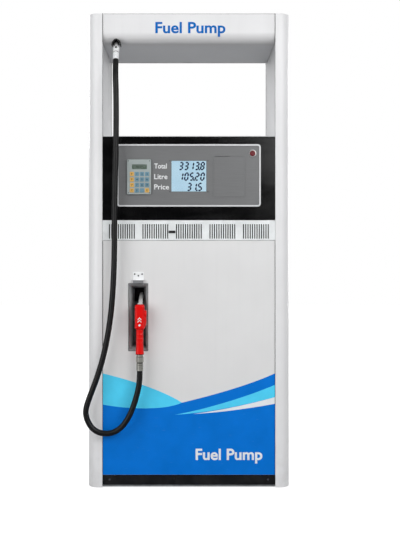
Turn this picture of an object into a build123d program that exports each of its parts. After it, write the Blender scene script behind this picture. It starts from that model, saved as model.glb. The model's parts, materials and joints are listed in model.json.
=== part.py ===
from build123d import *

import math
import os

# Fuel dispenser with one hose. Millimetres, +Z up, +X to the right seen from the front, front at -Y.
# The origin is the centre of the four anchor bolts, on the floor.

# ---- driving dimensions -------------------------------------------------------------------
HEIGHT = 2150.0
WIDTH = 916.0
DEPTH = 480.0

COLUMN_WIDTH = 66.0
COLUMN_CORNER_R = 50.0
SHEET = 2.0                 # cabinet sheet steel
PLATE = 3.0                 # shelves, sills and the roof
SEAM = 0.6                  # gap between a panel and its neighbour
SETBACK = 4.0               # how far panels lie behind the faces of the columns
RETURN = 20.0               # folded edge of a door
FIT = 0.3                   # gap between separate pieces that don't turn
RUN = 0.05                  # radial clearance of a turning shaft or pin

KICK_TOP = 56.0             # levels of the front, from the floor up
KICK_BOTTOM = 8.5
STRIP_BOTTOM = 1120.0
HEAD_BOTTOM = 1212.0
SILL_TOP = 1594.0
HEADER_HEIGHT = 130.0
HEADER_R = 45.0
HEADER_FLANGE = 26.0        # flat part of the header's underside that belongs to the fascia

BASE_SETBACK = 14.0
BASE_WALL = 3.0
BASE_PLATE = 4.0
BASE_FLANGE = (82.0, 84.0)  # width of the frame's flat part at the sides, and at front and rear
ANCHOR_INSET = (42.0, 39.0) # of the anchor holes, from the columns and from the frame's front
ANCHOR_HOLE_R = 8.0
CONDUIT_INSET = (142.0, 54.0)
CONDUIT_R = 14.0
RAIL_Y = 85.0
RAIL_WIDTH = 44.0

GRILLES = 5
GRILLE_GAP = 29.6           # from the last slot of one group to the first of the next, less one pitch
GRILLE_END = 12.0           # left over at each end of the strip
SLOTS = 12
SLOT_WIDTH = 5.0
SLOT_HEIGHT = 67.0
SLOT_LOWER = 5.0            # middle of the slots, below the middle of the strip
STRIP_THICK = 5.0
LATCH_BELOW = 53.5          # latch, below the head
LATCH_SHAFT_R = 5.0
LATCH_LONG = 30.0
LATCH_HIGH = 11.5
CAM_LENGTH = 50.0
CAM_THICK = 4.0

HINGE_PIN_R = 3.5
HINGE_BARREL_R = 5.5
HINGE_LEAF = 30.0
HINGE_INSET = 6.0           # hinge axis, inwards from the column's inner face
HINGE_PROUD = 7.0           # hinge axis, behind the rear face of the panels
DOOR_HINGES = (220.0, 950.0)
HEAD_HINGES = (1290.0, 1510.0)

DISPLAY_MARGINS = (66.0, 61.0, 38.0)    # display plate to the columns, the head's bottom and the sill
DISPLAY_CORNER_R = 14.0
DISPLAY_RIM = 7.0
DISPLAY_PLATE = 4.0
RIM_PROUD = 3.0
LCD_SIZE = (159.0, 140.0)
LCD_LOWER = 3.5             # screen, below the middle of the display
LCD_DEEP = 24.0
LCD_GLASS = 2.0
COVER_GAPS = (29.5, 70.0)   # blank cover to the screen, and to the display's right end
COVER_HEIGHT = 189.0
COVER_LOWER = 3.0
COVER_RIM = 6.0
STOP_INSET = (37.0, 41.5)   # stop button, from the display's top right corner
STOP_R = 12.5
STOP_TRAVEL = 3.0

KEYPAD_INSET = (46.0, 70.0)     # keypad, from the display's top left corner
KEYPAD_BORDER = (17.4, 58.8)    # what the housing adds to four key pitches
KEYPAD_PROUD = 11.0
KEYPAD_WALL = 2.0
KEYPAD_LCD = (68.0, 22.0)
KEYPAD_LCD_INSET = (56.5, 33.5) # its centre, from the housing's top left corner
KEY_SIZE = (18.0, 19.0)
KEY_SPACE = (4.9, 5.8)          # between neighbouring keys
KEY_INSET = (22.4, 66.0)        # centre of the top left key, from the housing's top left corner
KEY_CORNER_R = 3.0
KEY_PROUD = 2.5
KEY_FLANGE = 1.0
KEY_TRAVEL = 1.2
KEY_GAP = 0.25

BOOT_X = -230.0
BOOT_BOTTOM = 618.0
BOOT_TOP = 926.0
BOOT_WIDTH = 91.0
BOOT_RIM = 3.0
BOOT_WALL = 1.5
BOOT_DEPTH = 90.0
BOOT_TAPER = (14.0, 20.0)       # how much each side closes in towards the back
POCKET = (44.0, 74.0, 92.0)     # hole for the spout: width, height, depth behind the tray
POCKET_Z = 875.0
HASP_SIZE = (50.0, 39.0)
HASP_BOTTOM = 938.5
HASP_LIP = 12.5

HASP_SHIFT = 1.0                # to the right of the boot's middle
HASP_LIP_WIDTH = 46.0
HASP_LIP_PROUD = 16.0
HASP_HOLES = ((-17.0, 9.0), (17.0, 9.0), (0.0, 2.0))
HASP_HOLE_R = 2.2
REST_WIDTH = 16.0               # shelf in the boot that the nozzle's guard stands on
REST_BEHIND = (66.0, 82.0)      # its front and back, behind the nozzle's axis
REST_BOTTOM = 10.0              # above the boot's underside

NOZZLE_X = -220.0
NOZZLE_PROUD = 49.0             # nozzle's axis, in front of the door
SWIVEL_LENGTH = 74.0
GRIP_BOTTOM = 610.0
GRIP_TOP = 722.0
NOZZLE_TOP = 832.0
BODY_SIZE = (42.0, 52.0)
GRIP_SIZE = (32.0, 32.0)
GRIP_END = 37.0
CAP_R = 17.0
CAP_Z = 790.0
GUARD_STRIP = 4.5
GUARD_WIDTH = 18.0
GUARD_CORNER_R = 6.0
LEVER_PIVOT = (27.0, 738.0)     # behind the nozzle's axis, and height
LEVER_PIN_R = 3.0
LEVER_EYE_R = 7.0
LEVER_THICK = 12.0
VALVE_EDGE_R = 9.0
CAP_SIDE = (10.0, -2.0, 5.0)    # how far the cap stands out of the valve, its axis in y, and its edge
GRIP_FLARE = 34.0               # height of the flare at the grip's end
GRIP_CORNERS = (12.0, 14.0)     # of the grip, and of its flared end
GRIP_SUNK = 12.0
EAR_THICK = 4.0
EAR_FRONT = 10.0
EYE_SLOT = 9.0                  # half the height of the slot for the lever's eye
SPOUT_BEND = 60.0
SPOUT_R = 9.5
SPOUT_WALL = 1.6
SPOUT_COLLAR = 4.0
SPOUT_SOCKET = 20.0
SPOUT_LINE = [(19.0, 818.0), (66.0, 843.0), (156.0, 872.0)]    # behind the nozzle's axis, and height
GUARD_OUTLINE = [(10, 782), (78, 760), (95, 738), (95, 665), (78, 642), (10, 622)]

HOSE_D = 26.0
HOSE_ROUTE = [
    (-329.5, -262.0, 1933.0),
    (-329.5, -288.3, 1879.0),
    (-325.0, -290.0, 1764.0),
    (-325.5, -288.0, 1560.0),
    (-333.0, -286.0, 1290.0),
    (-333.5, -285.0, 1010.0),
    (-347.0, -286.0, 790.0),
    (-377.0, -288.0, 616.0),
    (-414.0, -290.0, 494.0),
    (-444.0, -291.0, 419.0),
    (-463.0, -291.0, 361.0),
    (-457.0, -291.0, 318.0),
    (-432.0, -291.0, 283.0),
    (-394.0, -290.0, 263.0),
    (-351.0, -290.0, 263.0),
    (-311.0, -289.0, 283.0),
    (-277.0, -288.0, 323.0),
    (-250.0, -287.0, 376.0),
    (-231.0, -286.0, 433.0),
    (-220.0, -285.0, 487.0),
    (-220.0, -285.0, 536.0),
]

OUTLET_INSET = 62.5             # hose outlet, from the left column
OUTLET_PROUD = 26.0             # end of the hose, in front of the panels
OUTLET_DROP = 87.0              # end of the hose, below the header
OUTLET_R = 14.5
OUTLET_NECK_R = 12.0
OUTLET_FERRULE = 38.0           # length of the part that grips the hose
OUTLET_ELBOW = 63.4             # from the hose's end to the elbow
OUTLET_NECK_ANGLE = 50.0        # of the neck, from the vertical
OUTLET_NECK = 64.0
HOOD_HALF = 22.0
HOOD_RISE = 28.0                # of the arch
HOOD_FOOT = 4.0                 # straight part below the arch
HOOD_WALL = 4.5
HOOD_UP = 16.0                  # top of the arch, above the header's underside
HOOD_DEEP = 32.0

FERRULE_GROOVES = (8.0, 16.0, 24.0)     # up from the hose's end, on both swivels
FERRULE_GROOVE = 2.4
SWIVEL_FERRULE = (15.5, 32.0)   # radius and length, as the neck, the nut and the ring above it
SWIVEL_NECK = (12.5, 6.0)
SWIVEL_NUT = (18.0, 22.0)
SWIVEL_NUT_R = 17.2             # of the chamfer round the nut's corners
SWIVEL_RING_R = 14.5
OUTLET_JOINT = (3.0, 3.0)       # gap of the outlet's swivel: depth and length
OUTLET_DIMPLE_R = 4.2

PIPE_R = 13.5
RISER_Y = 60.0
RISER_BELOW = 64.0              # top run of the riser, below the roof
PIPE_GAP = 1.5

PUMP_X = -150.0
PUMP_SIZE = (200.0, 190.0)
PUMP_TOP = 300.0
PUMP_SHAFT_Z = 190.0
PUMP_PULLEY_R = 90.0
INLET_R = 24.15
INLET_END = 12.0
MOTOR_X = 170.0
MOTOR_SHAFT_Z = 180.0
MOTOR_R = 80.0
MOTOR_Y = (-95.0, 150.0)
MOTOR_PULLEY_R = 45.0
SHAFT_R = 12.0
PULLEY_WIDTH = 22.0
GROOVE_WIDTH = 13.0
GROOVE_DEEP = 9.0
BELT_WIDTH = 12.0
BELT_THICK = 9.0
PULLEY_GAP = 8.0                # between a housing and its pulley

PUMP_CORNER_R = 22.0
PUMP_UNDER = 30.0               # casting, above the rails
SEPARATOR = (46.0, 26.0)        # radius and height of the cap on top
FILTER = (22.0, 40.0)
FILTER_OFFSET = (62.0, 30.0)    # its axis, from the pump's middle and from its rear face
PUMP_FEET = (160.0, 24.0, 32.0)
INLET_FLANGE = (12.0, 25.0)     # wider than the pipe, and thickness
OUTLET_ARM_R = 22.0
OUTLET_ARM_BELOW = 60.0         # below the pump's top
RISER_STUB = (24.0, 22.0, 30.0) # radius, and reach below and above the arm
MOTOR_RIBS = 7
MOTOR_RIB = (6.0, 6.0)          # height and thickness
MOTOR_RIB_PITCH = 26.0
MOTOR_RIB_START = 30.0
TERMINAL_BOX = (90.0, 60.0, 40.0)   # width, distance from both ends of the motor, height above it
TERMINAL_SUNK = 15.0
MOTOR_FEET = (140.0, 24.0, 30.0)    # width, depth, and top below the shaft
SHAFT_SOCKET = 30.0
SHAFT_IN_HOUSING = 25.0
SHAFT_END = 6.0
PULLEY_WEB = (10.0, 5.0)        # rim thickness, and depth of the face between rim and hub
PULLEY_HUB = 10.0

METER_X = -10.0
METER_BOTTOM = 430.0
METER_TOP = 560.0
METER_R = 62.0
METER_PISTON_R = 30.0
METER_PISTON_REACH = 82.0
ENCODER_R = 28.0
ENCODER_SHAFT_R = 5.0
ENCODER_HOLES = 12
ENCODER_HOLE = (22.0, 3.0)      # radius of their circle, and of each
ENCODER_DISC = (8.0, 4.0)       # above the meter's neck, and thickness
ENCODER_SHAFT = (30.0, 16.0)    # below and above the top of the neck
METER_NECK = (24.0, 14.0)       # radius and height
METER_NECK_BORE = 20.0
METER_HEAD = (84.0, 12.0, 60.0) # housing of the encoder's reader
METER_HEAD_Y = 36.0             # its middle, in front of the meter's axis
PIPE_FLANGE = (12.0, 8.0)       # wider than the pipe, and thickness
PIPE_BEND = 26.0

# ---- values worked out from the driving dimensions ------------------------------------------
COLUMN_INNER = WIDTH / 2 - COLUMN_WIDTH
PANEL_X = COLUMN_INNER - SEAM
PANEL_Y = DEPTH / 2 - SETBACK
HINGE_X = COLUMN_INNER - HINGE_INSET
HINGE_Y = PANEL_Y + HINGE_PROUD
PLATE_FRONT = -PANEL_Y - DISPLAY_PLATE
PULLEY_Y = MOTOR_Y[0] - PULLEY_GAP - PULLEY_WIDTH / 2
BASE_Y = DEPTH / 2 - BASE_SETBACK - SHEET
BASE_TOP = KICK_TOP - FIT
PUMP_FLOOR = KICK_TOP
TRENCH_X = 2 * (COLUMN_INNER - BASE_FLANGE[0])      # opening in the base for pipes and cables
TRENCH_Y = 2 * (BASE_Y - BASE_FLANGE[1])
ANCHOR_X = 2 * (COLUMN_INNER - ANCHOR_INSET[0])
ANCHOR_Y = 2 * (BASE_Y - ANCHOR_INSET[1])
CONDUIT_X = COLUMN_INNER - CONDUIT_INSET[0]
CONDUIT_Y = BASE_Y - CONDUIT_INSET[1]
SOFFIT = HEIGHT - HEADER_HEIGHT

GRILLE_PITCH = 2 * (COLUMN_INNER - GRILLE_END) / GRILLES
SLOT_PITCH = (GRILLE_PITCH - GRILLE_GAP) / SLOTS
LATCH_X = -GRILLE_PITCH / 2
LATCH_Z = HEAD_BOTTOM - LATCH_BELOW

DISPLAY_X = 2 * (COLUMN_INNER - DISPLAY_MARGINS[0])
DISPLAY_BOTTOM = HEAD_BOTTOM + DISPLAY_MARGINS[1]
DISPLAY_TOP = SILL_TOP - DISPLAY_MARGINS[2]
DISPLAY_MIDDLE = (DISPLAY_BOTTOM + DISPLAY_TOP) / 2
LCD_CENTRE = (0.0, DISPLAY_MIDDLE - LCD_LOWER)
COVER_ENDS = (LCD_SIZE[0] / 2 + COVER_GAPS[0], DISPLAY_X / 2 - COVER_GAPS[1])
COVER_SIZE = (COVER_ENDS[1] - COVER_ENDS[0], COVER_HEIGHT)
COVER_CENTRE = (sum(COVER_ENDS) / 2, DISPLAY_MIDDLE - COVER_LOWER)
STOP_CENTRE = (DISPLAY_X / 2 - STOP_INSET[0], DISPLAY_TOP - STOP_INSET[1])
KEY_PITCH = (KEY_SIZE[0] + KEY_SPACE[0], KEY_SIZE[1] + KEY_SPACE[1])
KEYPAD_LEFT = -DISPLAY_X / 2 + KEYPAD_INSET[0]
KEYPAD_TOP = DISPLAY_TOP - KEYPAD_INSET[1]
KEYPAD_SIZE = (4 * KEY_PITCH[0] + KEYPAD_BORDER[0], 4 * KEY_PITCH[1] + KEYPAD_BORDER[1])
KEYPAD_CENTRE = (KEYPAD_LEFT + KEYPAD_SIZE[0] / 2, KEYPAD_TOP - KEYPAD_SIZE[1] / 2)
KEY_FIRST = (KEYPAD_LEFT + KEY_INSET[0], KEYPAD_TOP - KEY_INSET[1])
KEYPAD_LCD_CENTRE = (KEYPAD_LEFT + KEYPAD_LCD_INSET[0], KEYPAD_TOP - KEYPAD_LCD_INSET[1])

NOZZLE_Y = -PANEL_Y - NOZZLE_PROUD
SWIVEL_BOTTOM = GRIP_BOTTOM - SWIVEL_LENGTH
OUTLET_END = (OUTLET_INSET - COLUMN_INNER, -PANEL_Y - OUTLET_PROUD, SOFFIT - OUTLET_DROP)
HOOD_APEX = SOFFIT + HOOD_UP
HOOD_SPRING = HOOD_APEX - HOOD_RISE
HOOD_BOTTOM = HOOD_SPRING - HOOD_FOOT
RISER_TOP = HEIGHT - RISER_BELOW


# ---- small helpers ----------------------------------------------------------------------------
def block(x, y, z):
    """A box between two values on each axis."""
    size = Box(x[1] - x[0], y[1] - y[0], z[1] - z[0])
    return Pos((x[0] + x[1]) / 2, (y[0] + y[1]) / 2, (z[0] + z[1]) / 2) * size


def bar(start, end, radius):
    """A round bar between two points."""
    start = Vector(*start)
    along = Vector(*end) - start
    return extrude(Plane(origin=start, z_dir=along) * Circle(radius), amount=along.length)


def panel(centre, size, y, corner):
    """A flat plate in the XZ plane with round corners, between two values of y."""
    face = Plane(origin=(centre[0], y[1], centre[1]), x_dir=(1, 0, 0), z_dir=(0, -1, 0))
    return extrude(face * RectangleRounded(size[0], size[1], corner), amount=y[1] - y[0])


def side_shape(points, x, fillet_r=0.0):
    """A solid from an outline in the YZ plane, between two values of x."""
    outline = Plane.YZ * make_face(Polyline(*points, close=True))
    if fillet_r:
        outline = fillet(outline.vertices(), fillet_r)
    return Pos(x[0], 0, 0) * extrude(outline, amount=x[1] - x[0])


def at_rear(shape):
    return mirror(shape, about=Plane.XZ)


def save(name, shape):
    shape.label = name
    export_step(shape, f"parts/{name}.step")


# ---- cabinet --------------------------------------------------------------------------------------
def base_frame():
    """Welded frame round the trench opening: four angle members and the two rails that carry the pump
    and the motor."""
    pieces = []
    for side in (-1, 1):
        y = sorted((side * TRENCH_Y / 2, side * BASE_Y))
        wall = sorted((side * (BASE_Y - BASE_WALL), side * BASE_Y))
        member = block((-PANEL_X, PANEL_X), y, (0, BASE_PLATE)) + block((-PANEL_X, PANEL_X), wall, (0, BASE_TOP))
        for x in (-ANCHOR_X / 2, ANCHOR_X / 2):
            hole = (x, side * ANCHOR_Y / 2)
            member -= bar((*hole, -1), (*hole, BASE_PLATE + 1), ANCHOR_HOLE_R)
        if side > 0:
            member -= bar((CONDUIT_X, CONDUIT_Y, -1), (CONDUIT_X, CONDUIT_Y, BASE_PLATE + 1), CONDUIT_R)
        pieces.append(member)
    for side in (-1, 1):
        x = sorted((side * TRENCH_X / 2, side * PANEL_X))
        wall = sorted((side * (PANEL_X - BASE_WALL), side * PANEL_X))
        y = (-TRENCH_Y / 2, TRENCH_Y / 2)
        pieces.append(block(x, y, (0, BASE_PLATE)) + block(wall, y, (0, BASE_TOP)))
    for y in (-RAIL_Y, RAIL_Y):
        rail = (y - RAIL_WIDTH / 2, y + RAIL_WIDTH / 2)
        pieces.append(block((-PANEL_X + BASE_WALL, PANEL_X - BASE_WALL), rail, (BASE_TOP - BASE_PLATE, BASE_TOP)))
    return Compound(children=pieces)


def column(side):
    """Hollow side column with round outer corners and a closed top."""
    def outline(wall):
        plan = Rectangle(COLUMN_WIDTH - 2 * wall, DEPTH - 2 * wall)
        outside = plan.vertices().sort_by(Axis.X)
        outside = outside[-2:] if side > 0 else outside[:2]
        return fillet(outside, COLUMN_CORNER_R - wall)

    centre = Pos(side * (WIDTH - COLUMN_WIDTH) / 2, 0, 0)
    shell = extrude(outline(0), amount=HEIGHT) - extrude(outline(SHEET), amount=HEIGHT - PLATE)
    return centre * shell


def left_column():
    """The left column carries the riser, which enters low down and leaves inside the header."""
    shell = column(-1)
    wall = (-COLUMN_INNER - SHEET - 1, -COLUMN_INNER + 1)
    for z in (riser_bottom(), RISER_TOP):
        shell -= bar((wall[0], RISER_Y, z), (wall[1], RISER_Y, z), PIPE_R + PIPE_GAP)
    return shell


def fascia():
    """Header face that curves back into the underside."""
    top = HEIGHT - PLATE - FIT
    back = -PANEL_Y + HEADER_R + HEADER_FLANGE

    def body(inset, over):
        solid = block(
            (-PANEL_X - over, PANEL_X + over), (-PANEL_Y + inset, back + over), (SOFFIT + inset, top + over)
        )
        edge = solid.edges().filter_by(Axis.X).group_by(Axis.Z)[0].sort_by(Axis.Y)[0]
        return fillet(edge, HEADER_R - inset)

    return body(0, 0) - body(SHEET, 1)


def arch(inset, y, bottom):
    """Pointed arch over the hose outlet, as a prism along y."""
    half = HOOD_HALF
    rise = HOOD_APEX - HOOD_SPRING
    radius = (half * half + rise * rise) / (2 * half)
    x = OUTLET_END[0]
    lobes = [
        bar((x + s * (half - radius), y[0], HOOD_SPRING), (x + s * (half - radius), y[1], HOOD_SPRING), radius - inset)
        for s in (-1, 1)
    ]
    upper = lobes[0] & lobes[1] & block((x - half, x + half), y, (HOOD_SPRING, HOOD_APEX + 1))
    return upper + block((x - half + inset, x + half - inset), y, (bottom, HOOD_SPRING))


def outlet_hood():
    """Black canopy set in the notch of the fascia, over the neck of the hose outlet."""
    front = -PANEL_Y - FIT - SHEET
    back = front + HOOD_DEEP
    return arch(FIT, (front, back), HOOD_BOTTOM) - arch(FIT + HOOD_WALL, (front - 1, back + 1), HOOD_BOTTOM - 1)


def header_front():
    """Front fascia with the arched notch that the hose outlet comes out of."""
    front = -PANEL_Y - 1
    return fascia() - arch(0, (front, -PANEL_Y + HEADER_R + HEADER_FLANGE - 8 + FIT), HOOD_SPRING - 1)


def header_soffit():
    y = PANEL_Y - HEADER_R - HEADER_FLANGE - SEAM
    return block((-PANEL_X, PANEL_X), (-y, y), (SOFFIT, SOFFIT + SHEET))


def header_roof():
    return block((-PANEL_X, PANEL_X), (-PANEL_Y, PANEL_Y), (HEIGHT - PLATE, HEIGHT))


def head_sill():
    return block((-PANEL_X, PANEL_X), (-PANEL_Y, PANEL_Y), (SILL_TOP - PLATE, SILL_TOP))


def head_shelf():
    """Vapour barrier between the electronics and the pump compartment."""
    y = PANEL_Y - RETURN - 16
    return block((-PANEL_X, PANEL_X), (-y, y), (STRIP_BOTTOM, STRIP_BOTTOM + PLATE))


def door(bottom, top, returns=RETURN):
    """Sheet door at the rear, folded in on all four sides."""
    outer = block((-PANEL_X, PANEL_X), (PANEL_Y - returns, PANEL_Y), (bottom, top))
    inner = block(
        (-PANEL_X + SHEET, PANEL_X - SHEET), (PANEL_Y - returns - 1, PANEL_Y - SHEET), (bottom + SHEET, top - SHEET)
    )
    return outer - inner


def knuckle(low, high):
    return bar((HINGE_X, HINGE_Y, low), (HINGE_X, HINGE_Y, high), HINGE_BARREL_R)


def hinged_door(bottom, top, hinges):
    """Rear door with the upper knuckles of its lift-off hinges welded on."""
    shape = door(bottom, top)
    for z in hinges:
        low = z + FIT
        high = z + HINGE_LEAF
        shape += block((HINGE_X - HINGE_LEAF, HINGE_X), (PANEL_Y - SHEET / 2, PANEL_Y + SHEET), (low, high))
        shape += block((HINGE_X - HINGE_BARREL_R, HINGE_X), (PANEL_Y - SHEET / 2, HINGE_Y), (low, high))
        shape += knuckle(low, high)
        shape -= bar((HINGE_X, HINGE_Y, low - 1), (HINGE_X, HINGE_Y, high + 1), HINGE_PIN_R + RUN)
    return shape


def hinges():
    """Fixed halves of the four hinges: a leaf on the right column, a knuckle and its pin."""
    shapes = []
    rear = DEPTH / 2
    for z in DOOR_HINGES + HEAD_HINGES:
        low = z - HINGE_LEAF
        leaf = block((HINGE_X, WIDTH / 2 - COLUMN_CORNER_R), (rear, rear + SHEET + 0.5), (low, z))
        pin = bar((HINGE_X, HINGE_Y, z - 1), (HINGE_X, HINGE_Y, z + HINGE_LEAF + 2), HINGE_PIN_R)
        shapes.append(leaf + knuckle(low, z) + pin)
    return Compound(children=shapes)


def front_door():
    shape = at_rear(door(KICK_TOP + SEAM, STRIP_BOTTOM - SEAM))
    width = BOOT_WIDTH - 2 * BOOT_RIM + 2 * FIT
    height = BOOT_TOP - BOOT_BOTTOM - 2 * BOOT_RIM + 2 * FIT
    centre = (BOOT_X, (BOOT_TOP + BOOT_BOTTOM) / 2)
    return shape - panel(centre, (width, height), (-PANEL_Y - 1, -PANEL_Y + SHEET + 1), BOOT_RIM)


def kickplates():
    y = (-DEPTH / 2 + BASE_SETBACK, -DEPTH / 2 + BASE_SETBACK + SHEET)
    plate = block((-PANEL_X, PANEL_X), y, (KICK_BOTTOM, KICK_TOP))
    return Compound(children=[plate, at_rear(plate)])


def vent_strip():
    """Trim strip with five groups of slots and the hole of the door latch."""
    y = (-PANEL_Y - STRIP_THICK / 2, -PANEL_Y + STRIP_THICK / 2)
    strip = block((-PANEL_X, PANEL_X), y, (STRIP_BOTTOM + SEAM, HEAD_BOTTOM - SEAM))
    long_edges = strip.edges().filter_by(Axis.X).group_by(Axis.Y)[0]
    strip = fillet(long_edges, STRIP_THICK / 3)
    slot_z = (STRIP_BOTTOM + HEAD_BOTTOM) / 2 - SLOT_LOWER
    cuts = []
    for grille in range(GRILLES):
        centre = (grille - (GRILLES - 1) / 2) * GRILLE_PITCH
        for slot in range(SLOTS):
            x = centre + (slot - (SLOTS - 1) / 2) * SLOT_PITCH
            cuts.append(panel((x, slot_z), (SLOT_WIDTH, SLOT_HEIGHT), (y[0] - 1, y[1] + 1), SLOT_WIDTH / 2 - 0.1))
    cuts.append(bar((LATCH_X, y[0] - 1, LATCH_Z), (LATCH_X, y[1] + 1, LATCH_Z), LATCH_SHAFT_R + RUN))
    return strip - cuts


def latch():
    """Quarter-turn latch: handle, shaft, and the cam that turns down behind the door's edge."""
    strip_face = -PANEL_Y - STRIP_THICK / 2
    cam_y = -PANEL_Y + RETURN + 2
    handle = panel((LATCH_X, LATCH_Z), (LATCH_LONG, LATCH_HIGH), (strip_face - FIT - 4, strip_face - FIT), 2)
    handle += bar((LATCH_X, strip_face - FIT - 1, LATCH_Z), (LATCH_X, cam_y + CAM_THICK, LATCH_Z), LATCH_SHAFT_R)
    cam = block(
        (LATCH_X - 8, LATCH_X + CAM_LENGTH), (cam_y, cam_y + CAM_THICK), (LATCH_Z - 8, LATCH_Z + 8)
    )
    return handle + cam


# ---- head -------------------------------------------------------------------------------------------
def head_front_panel():
    """Black panel with cut-outs for the screen, the keypad's plug and the stop button."""
    z = (HEAD_BOTTOM + SEAM, SILL_TOP - PLATE - FIT)
    shape = block((-PANEL_X, PANEL_X), (-PANEL_Y, -PANEL_Y + PLATE), z)
    through = (-PANEL_Y - 1, -PANEL_Y + PLATE + 1)
    shape -= panel(LCD_CENTRE, (LCD_SIZE[0] + 2 * FIT, LCD_SIZE[1] + 2 * FIT), through, 1)
    stop = (STOP_CENTRE[0], through[0], STOP_CENTRE[1])
    return shape - bar(stop, (STOP_CENTRE[0], through[1], STOP_CENTRE[1]), STOP_R + 1)


def display_panel():
    """Grey plate with a raised bright rim."""
    centre = (0, DISPLAY_MIDDLE)
    size = (DISPLAY_X, DISPLAY_TOP - DISPLAY_BOTTOM)
    inner = (size[0] - 2 * DISPLAY_RIM, size[1] - 2 * DISPLAY_RIM)
    front = PLATE_FRONT - RIM_PROUD
    rim = panel(centre, size, (front, -PANEL_Y), DISPLAY_CORNER_R)
    rim = chamfer(rim.faces().sort_by(Axis.Y)[0].edges(), 1.5)
    rim -= panel(centre, inner, (front - 1, PLATE_FRONT), DISPLAY_CORNER_R - DISPLAY_RIM)
    through = (front - 1, -PANEL_Y + 1)
    rim -= panel(LCD_CENTRE, LCD_SIZE, through, 1)
    stop = (STOP_CENTRE[0], through[0], STOP_CENTRE[1])
    return rim - bar(stop, (STOP_CENTRE[0], through[1], STOP_CENTRE[1]), STOP_R + KEY_GAP)


def lcd_fit():
    return (LCD_SIZE[0] - 2 * FIT, LCD_SIZE[1] - 2 * FIT)


def lcd_window():
    return panel(LCD_CENTRE, lcd_fit(), (PLATE_FRONT, PLATE_FRONT + LCD_GLASS), 0.8)


def lcd_module():
    front = PLATE_FRONT + LCD_GLASS + FIT
    return panel(LCD_CENTRE, lcd_fit(), (front, front + LCD_DEEP), 0.8)


def blank_cover():
    """Blanked place for a printer or card reader: a thin plate with a raised rim."""
    plate = panel(COVER_CENTRE, COVER_SIZE, (PLATE_FRONT - 2, PLATE_FRONT), 6)
    inner = (COVER_SIZE[0] - 2 * COVER_RIM, COVER_SIZE[1] - 2 * COVER_RIM)
    return plate - panel(COVER_CENTRE, inner, (PLATE_FRONT - 3, PLATE_FRONT - 1), 3)


def stop_button():
    x, z = STOP_CENTRE
    front = PLATE_FRONT - STOP_TRAVEL - 4
    button = bar((x, front, z), (x, -PANEL_Y + PLATE + 6, z), STOP_R)
    return fillet(button.faces().sort_by(Axis.Y)[0].edges(), 2.5)


def key_centre(row, column_index):
    return (KEY_FIRST[0] + column_index * KEY_PITCH[0], KEY_FIRST[1] - row * KEY_PITCH[1])


def keypad_housing():
    front = PLATE_FRONT - KEYPAD_PROUD
    shell = panel(KEYPAD_CENTRE, KEYPAD_SIZE, (front, PLATE_FRONT), 5)
    shell = fillet(shell.faces().sort_by(Axis.Y)[0].edges(), 2.5)
    inner = (KEYPAD_SIZE[0] - 2 * KEYPAD_WALL, KEYPAD_SIZE[1] - 2 * KEYPAD_WALL)
    shell -= panel(KEYPAD_CENTRE, inner, (front + KEYPAD_WALL, PLATE_FRONT + 1), 3.5)
    screen_wall = panel(KEYPAD_LCD_CENTRE, (KEYPAD_LCD[0] + 6, KEYPAD_LCD[1] + 6), (front + 1, front + 4), 2)
    shell = (shell + screen_wall) - panel(KEYPAD_LCD_CENTRE, KEYPAD_LCD, (front - 1, front + 2), 1.5)
    for row in range(4):
        for column_index in range(4):
            size = (KEY_SIZE[0] + 2 * KEY_GAP, KEY_SIZE[1] + 2 * KEY_GAP)
            hole = (front - 1, front + KEYPAD_WALL + 1)
            shell -= panel(key_centre(row, column_index), size, hole, KEY_CORNER_R + KEY_GAP)
    return shell


def key(row, column_index):
    """A key with a domed front, held in the housing by the flange behind its wall."""
    centre = key_centre(row, column_index)
    front = PLATE_FRONT - KEYPAD_PROUD
    wall = front + KEYPAD_WALL + KEY_GAP
    cap = panel(centre, KEY_SIZE, (front - KEY_PROUD, PLATE_FRONT - KEY_TRAVEL - 1), KEY_CORNER_R)
    cap = fillet(cap.faces().sort_by(Axis.Y)[0].edges(), 1.4)
    size = (KEY_SIZE[0] + 2 * KEY_FLANGE, KEY_SIZE[1] + 2 * KEY_FLANGE)
    return cap + panel(centre, size, (wall, wall + 2), KEY_CORNER_R)


def control_box():
    """Housing of the electronics, standing on the shelf behind the display."""
    base = STRIP_BOTTOM + PLATE
    case = block((-160, 160), (-90, 70), (base, base + 130))
    case = fillet(case.edges().filter_by(Axis.Z), 8)
    lid = block((-166, 166), (-96, 76), (base + 130, base + 138))
    return case + fillet(lid.edges().filter_by(Axis.Z), 10)


# ---- nozzle and its place ---------------------------------------------------------------------------
def boot_cone(inset, y):
    """The tapered space of the tray, closing in towards the back."""
    width = BOOT_WIDTH - 2 * BOOT_RIM - 2 * inset
    height = BOOT_TOP - BOOT_BOTTOM - 2 * BOOT_RIM - 2 * inset
    middle = (BOOT_TOP + BOOT_BOTTOM) / 2

    def section(depth, share):
        face = Plane(origin=(BOOT_X, depth, middle), x_dir=(1, 0, 0), z_dir=(0, 1, 0))
        return face * Rectangle(width - 2 * share * BOOT_TAPER[0], height - 2 * share * BOOT_TAPER[1])

    start = (y[0] + PANEL_Y) / BOOT_DEPTH
    return loft([section(y[0], start), section(y[1], 1.0)])


def guard_low(y):
    """Height of the underside of the nozzle's guard at a distance behind the nozzle's axis."""
    (y0, z0), (y1, z1) = GUARD_OUTLINE[4], GUARD_OUTLINE[5]
    return z0 + (y - y0) * (z1 - z0) / (y1 - y0)


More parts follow.
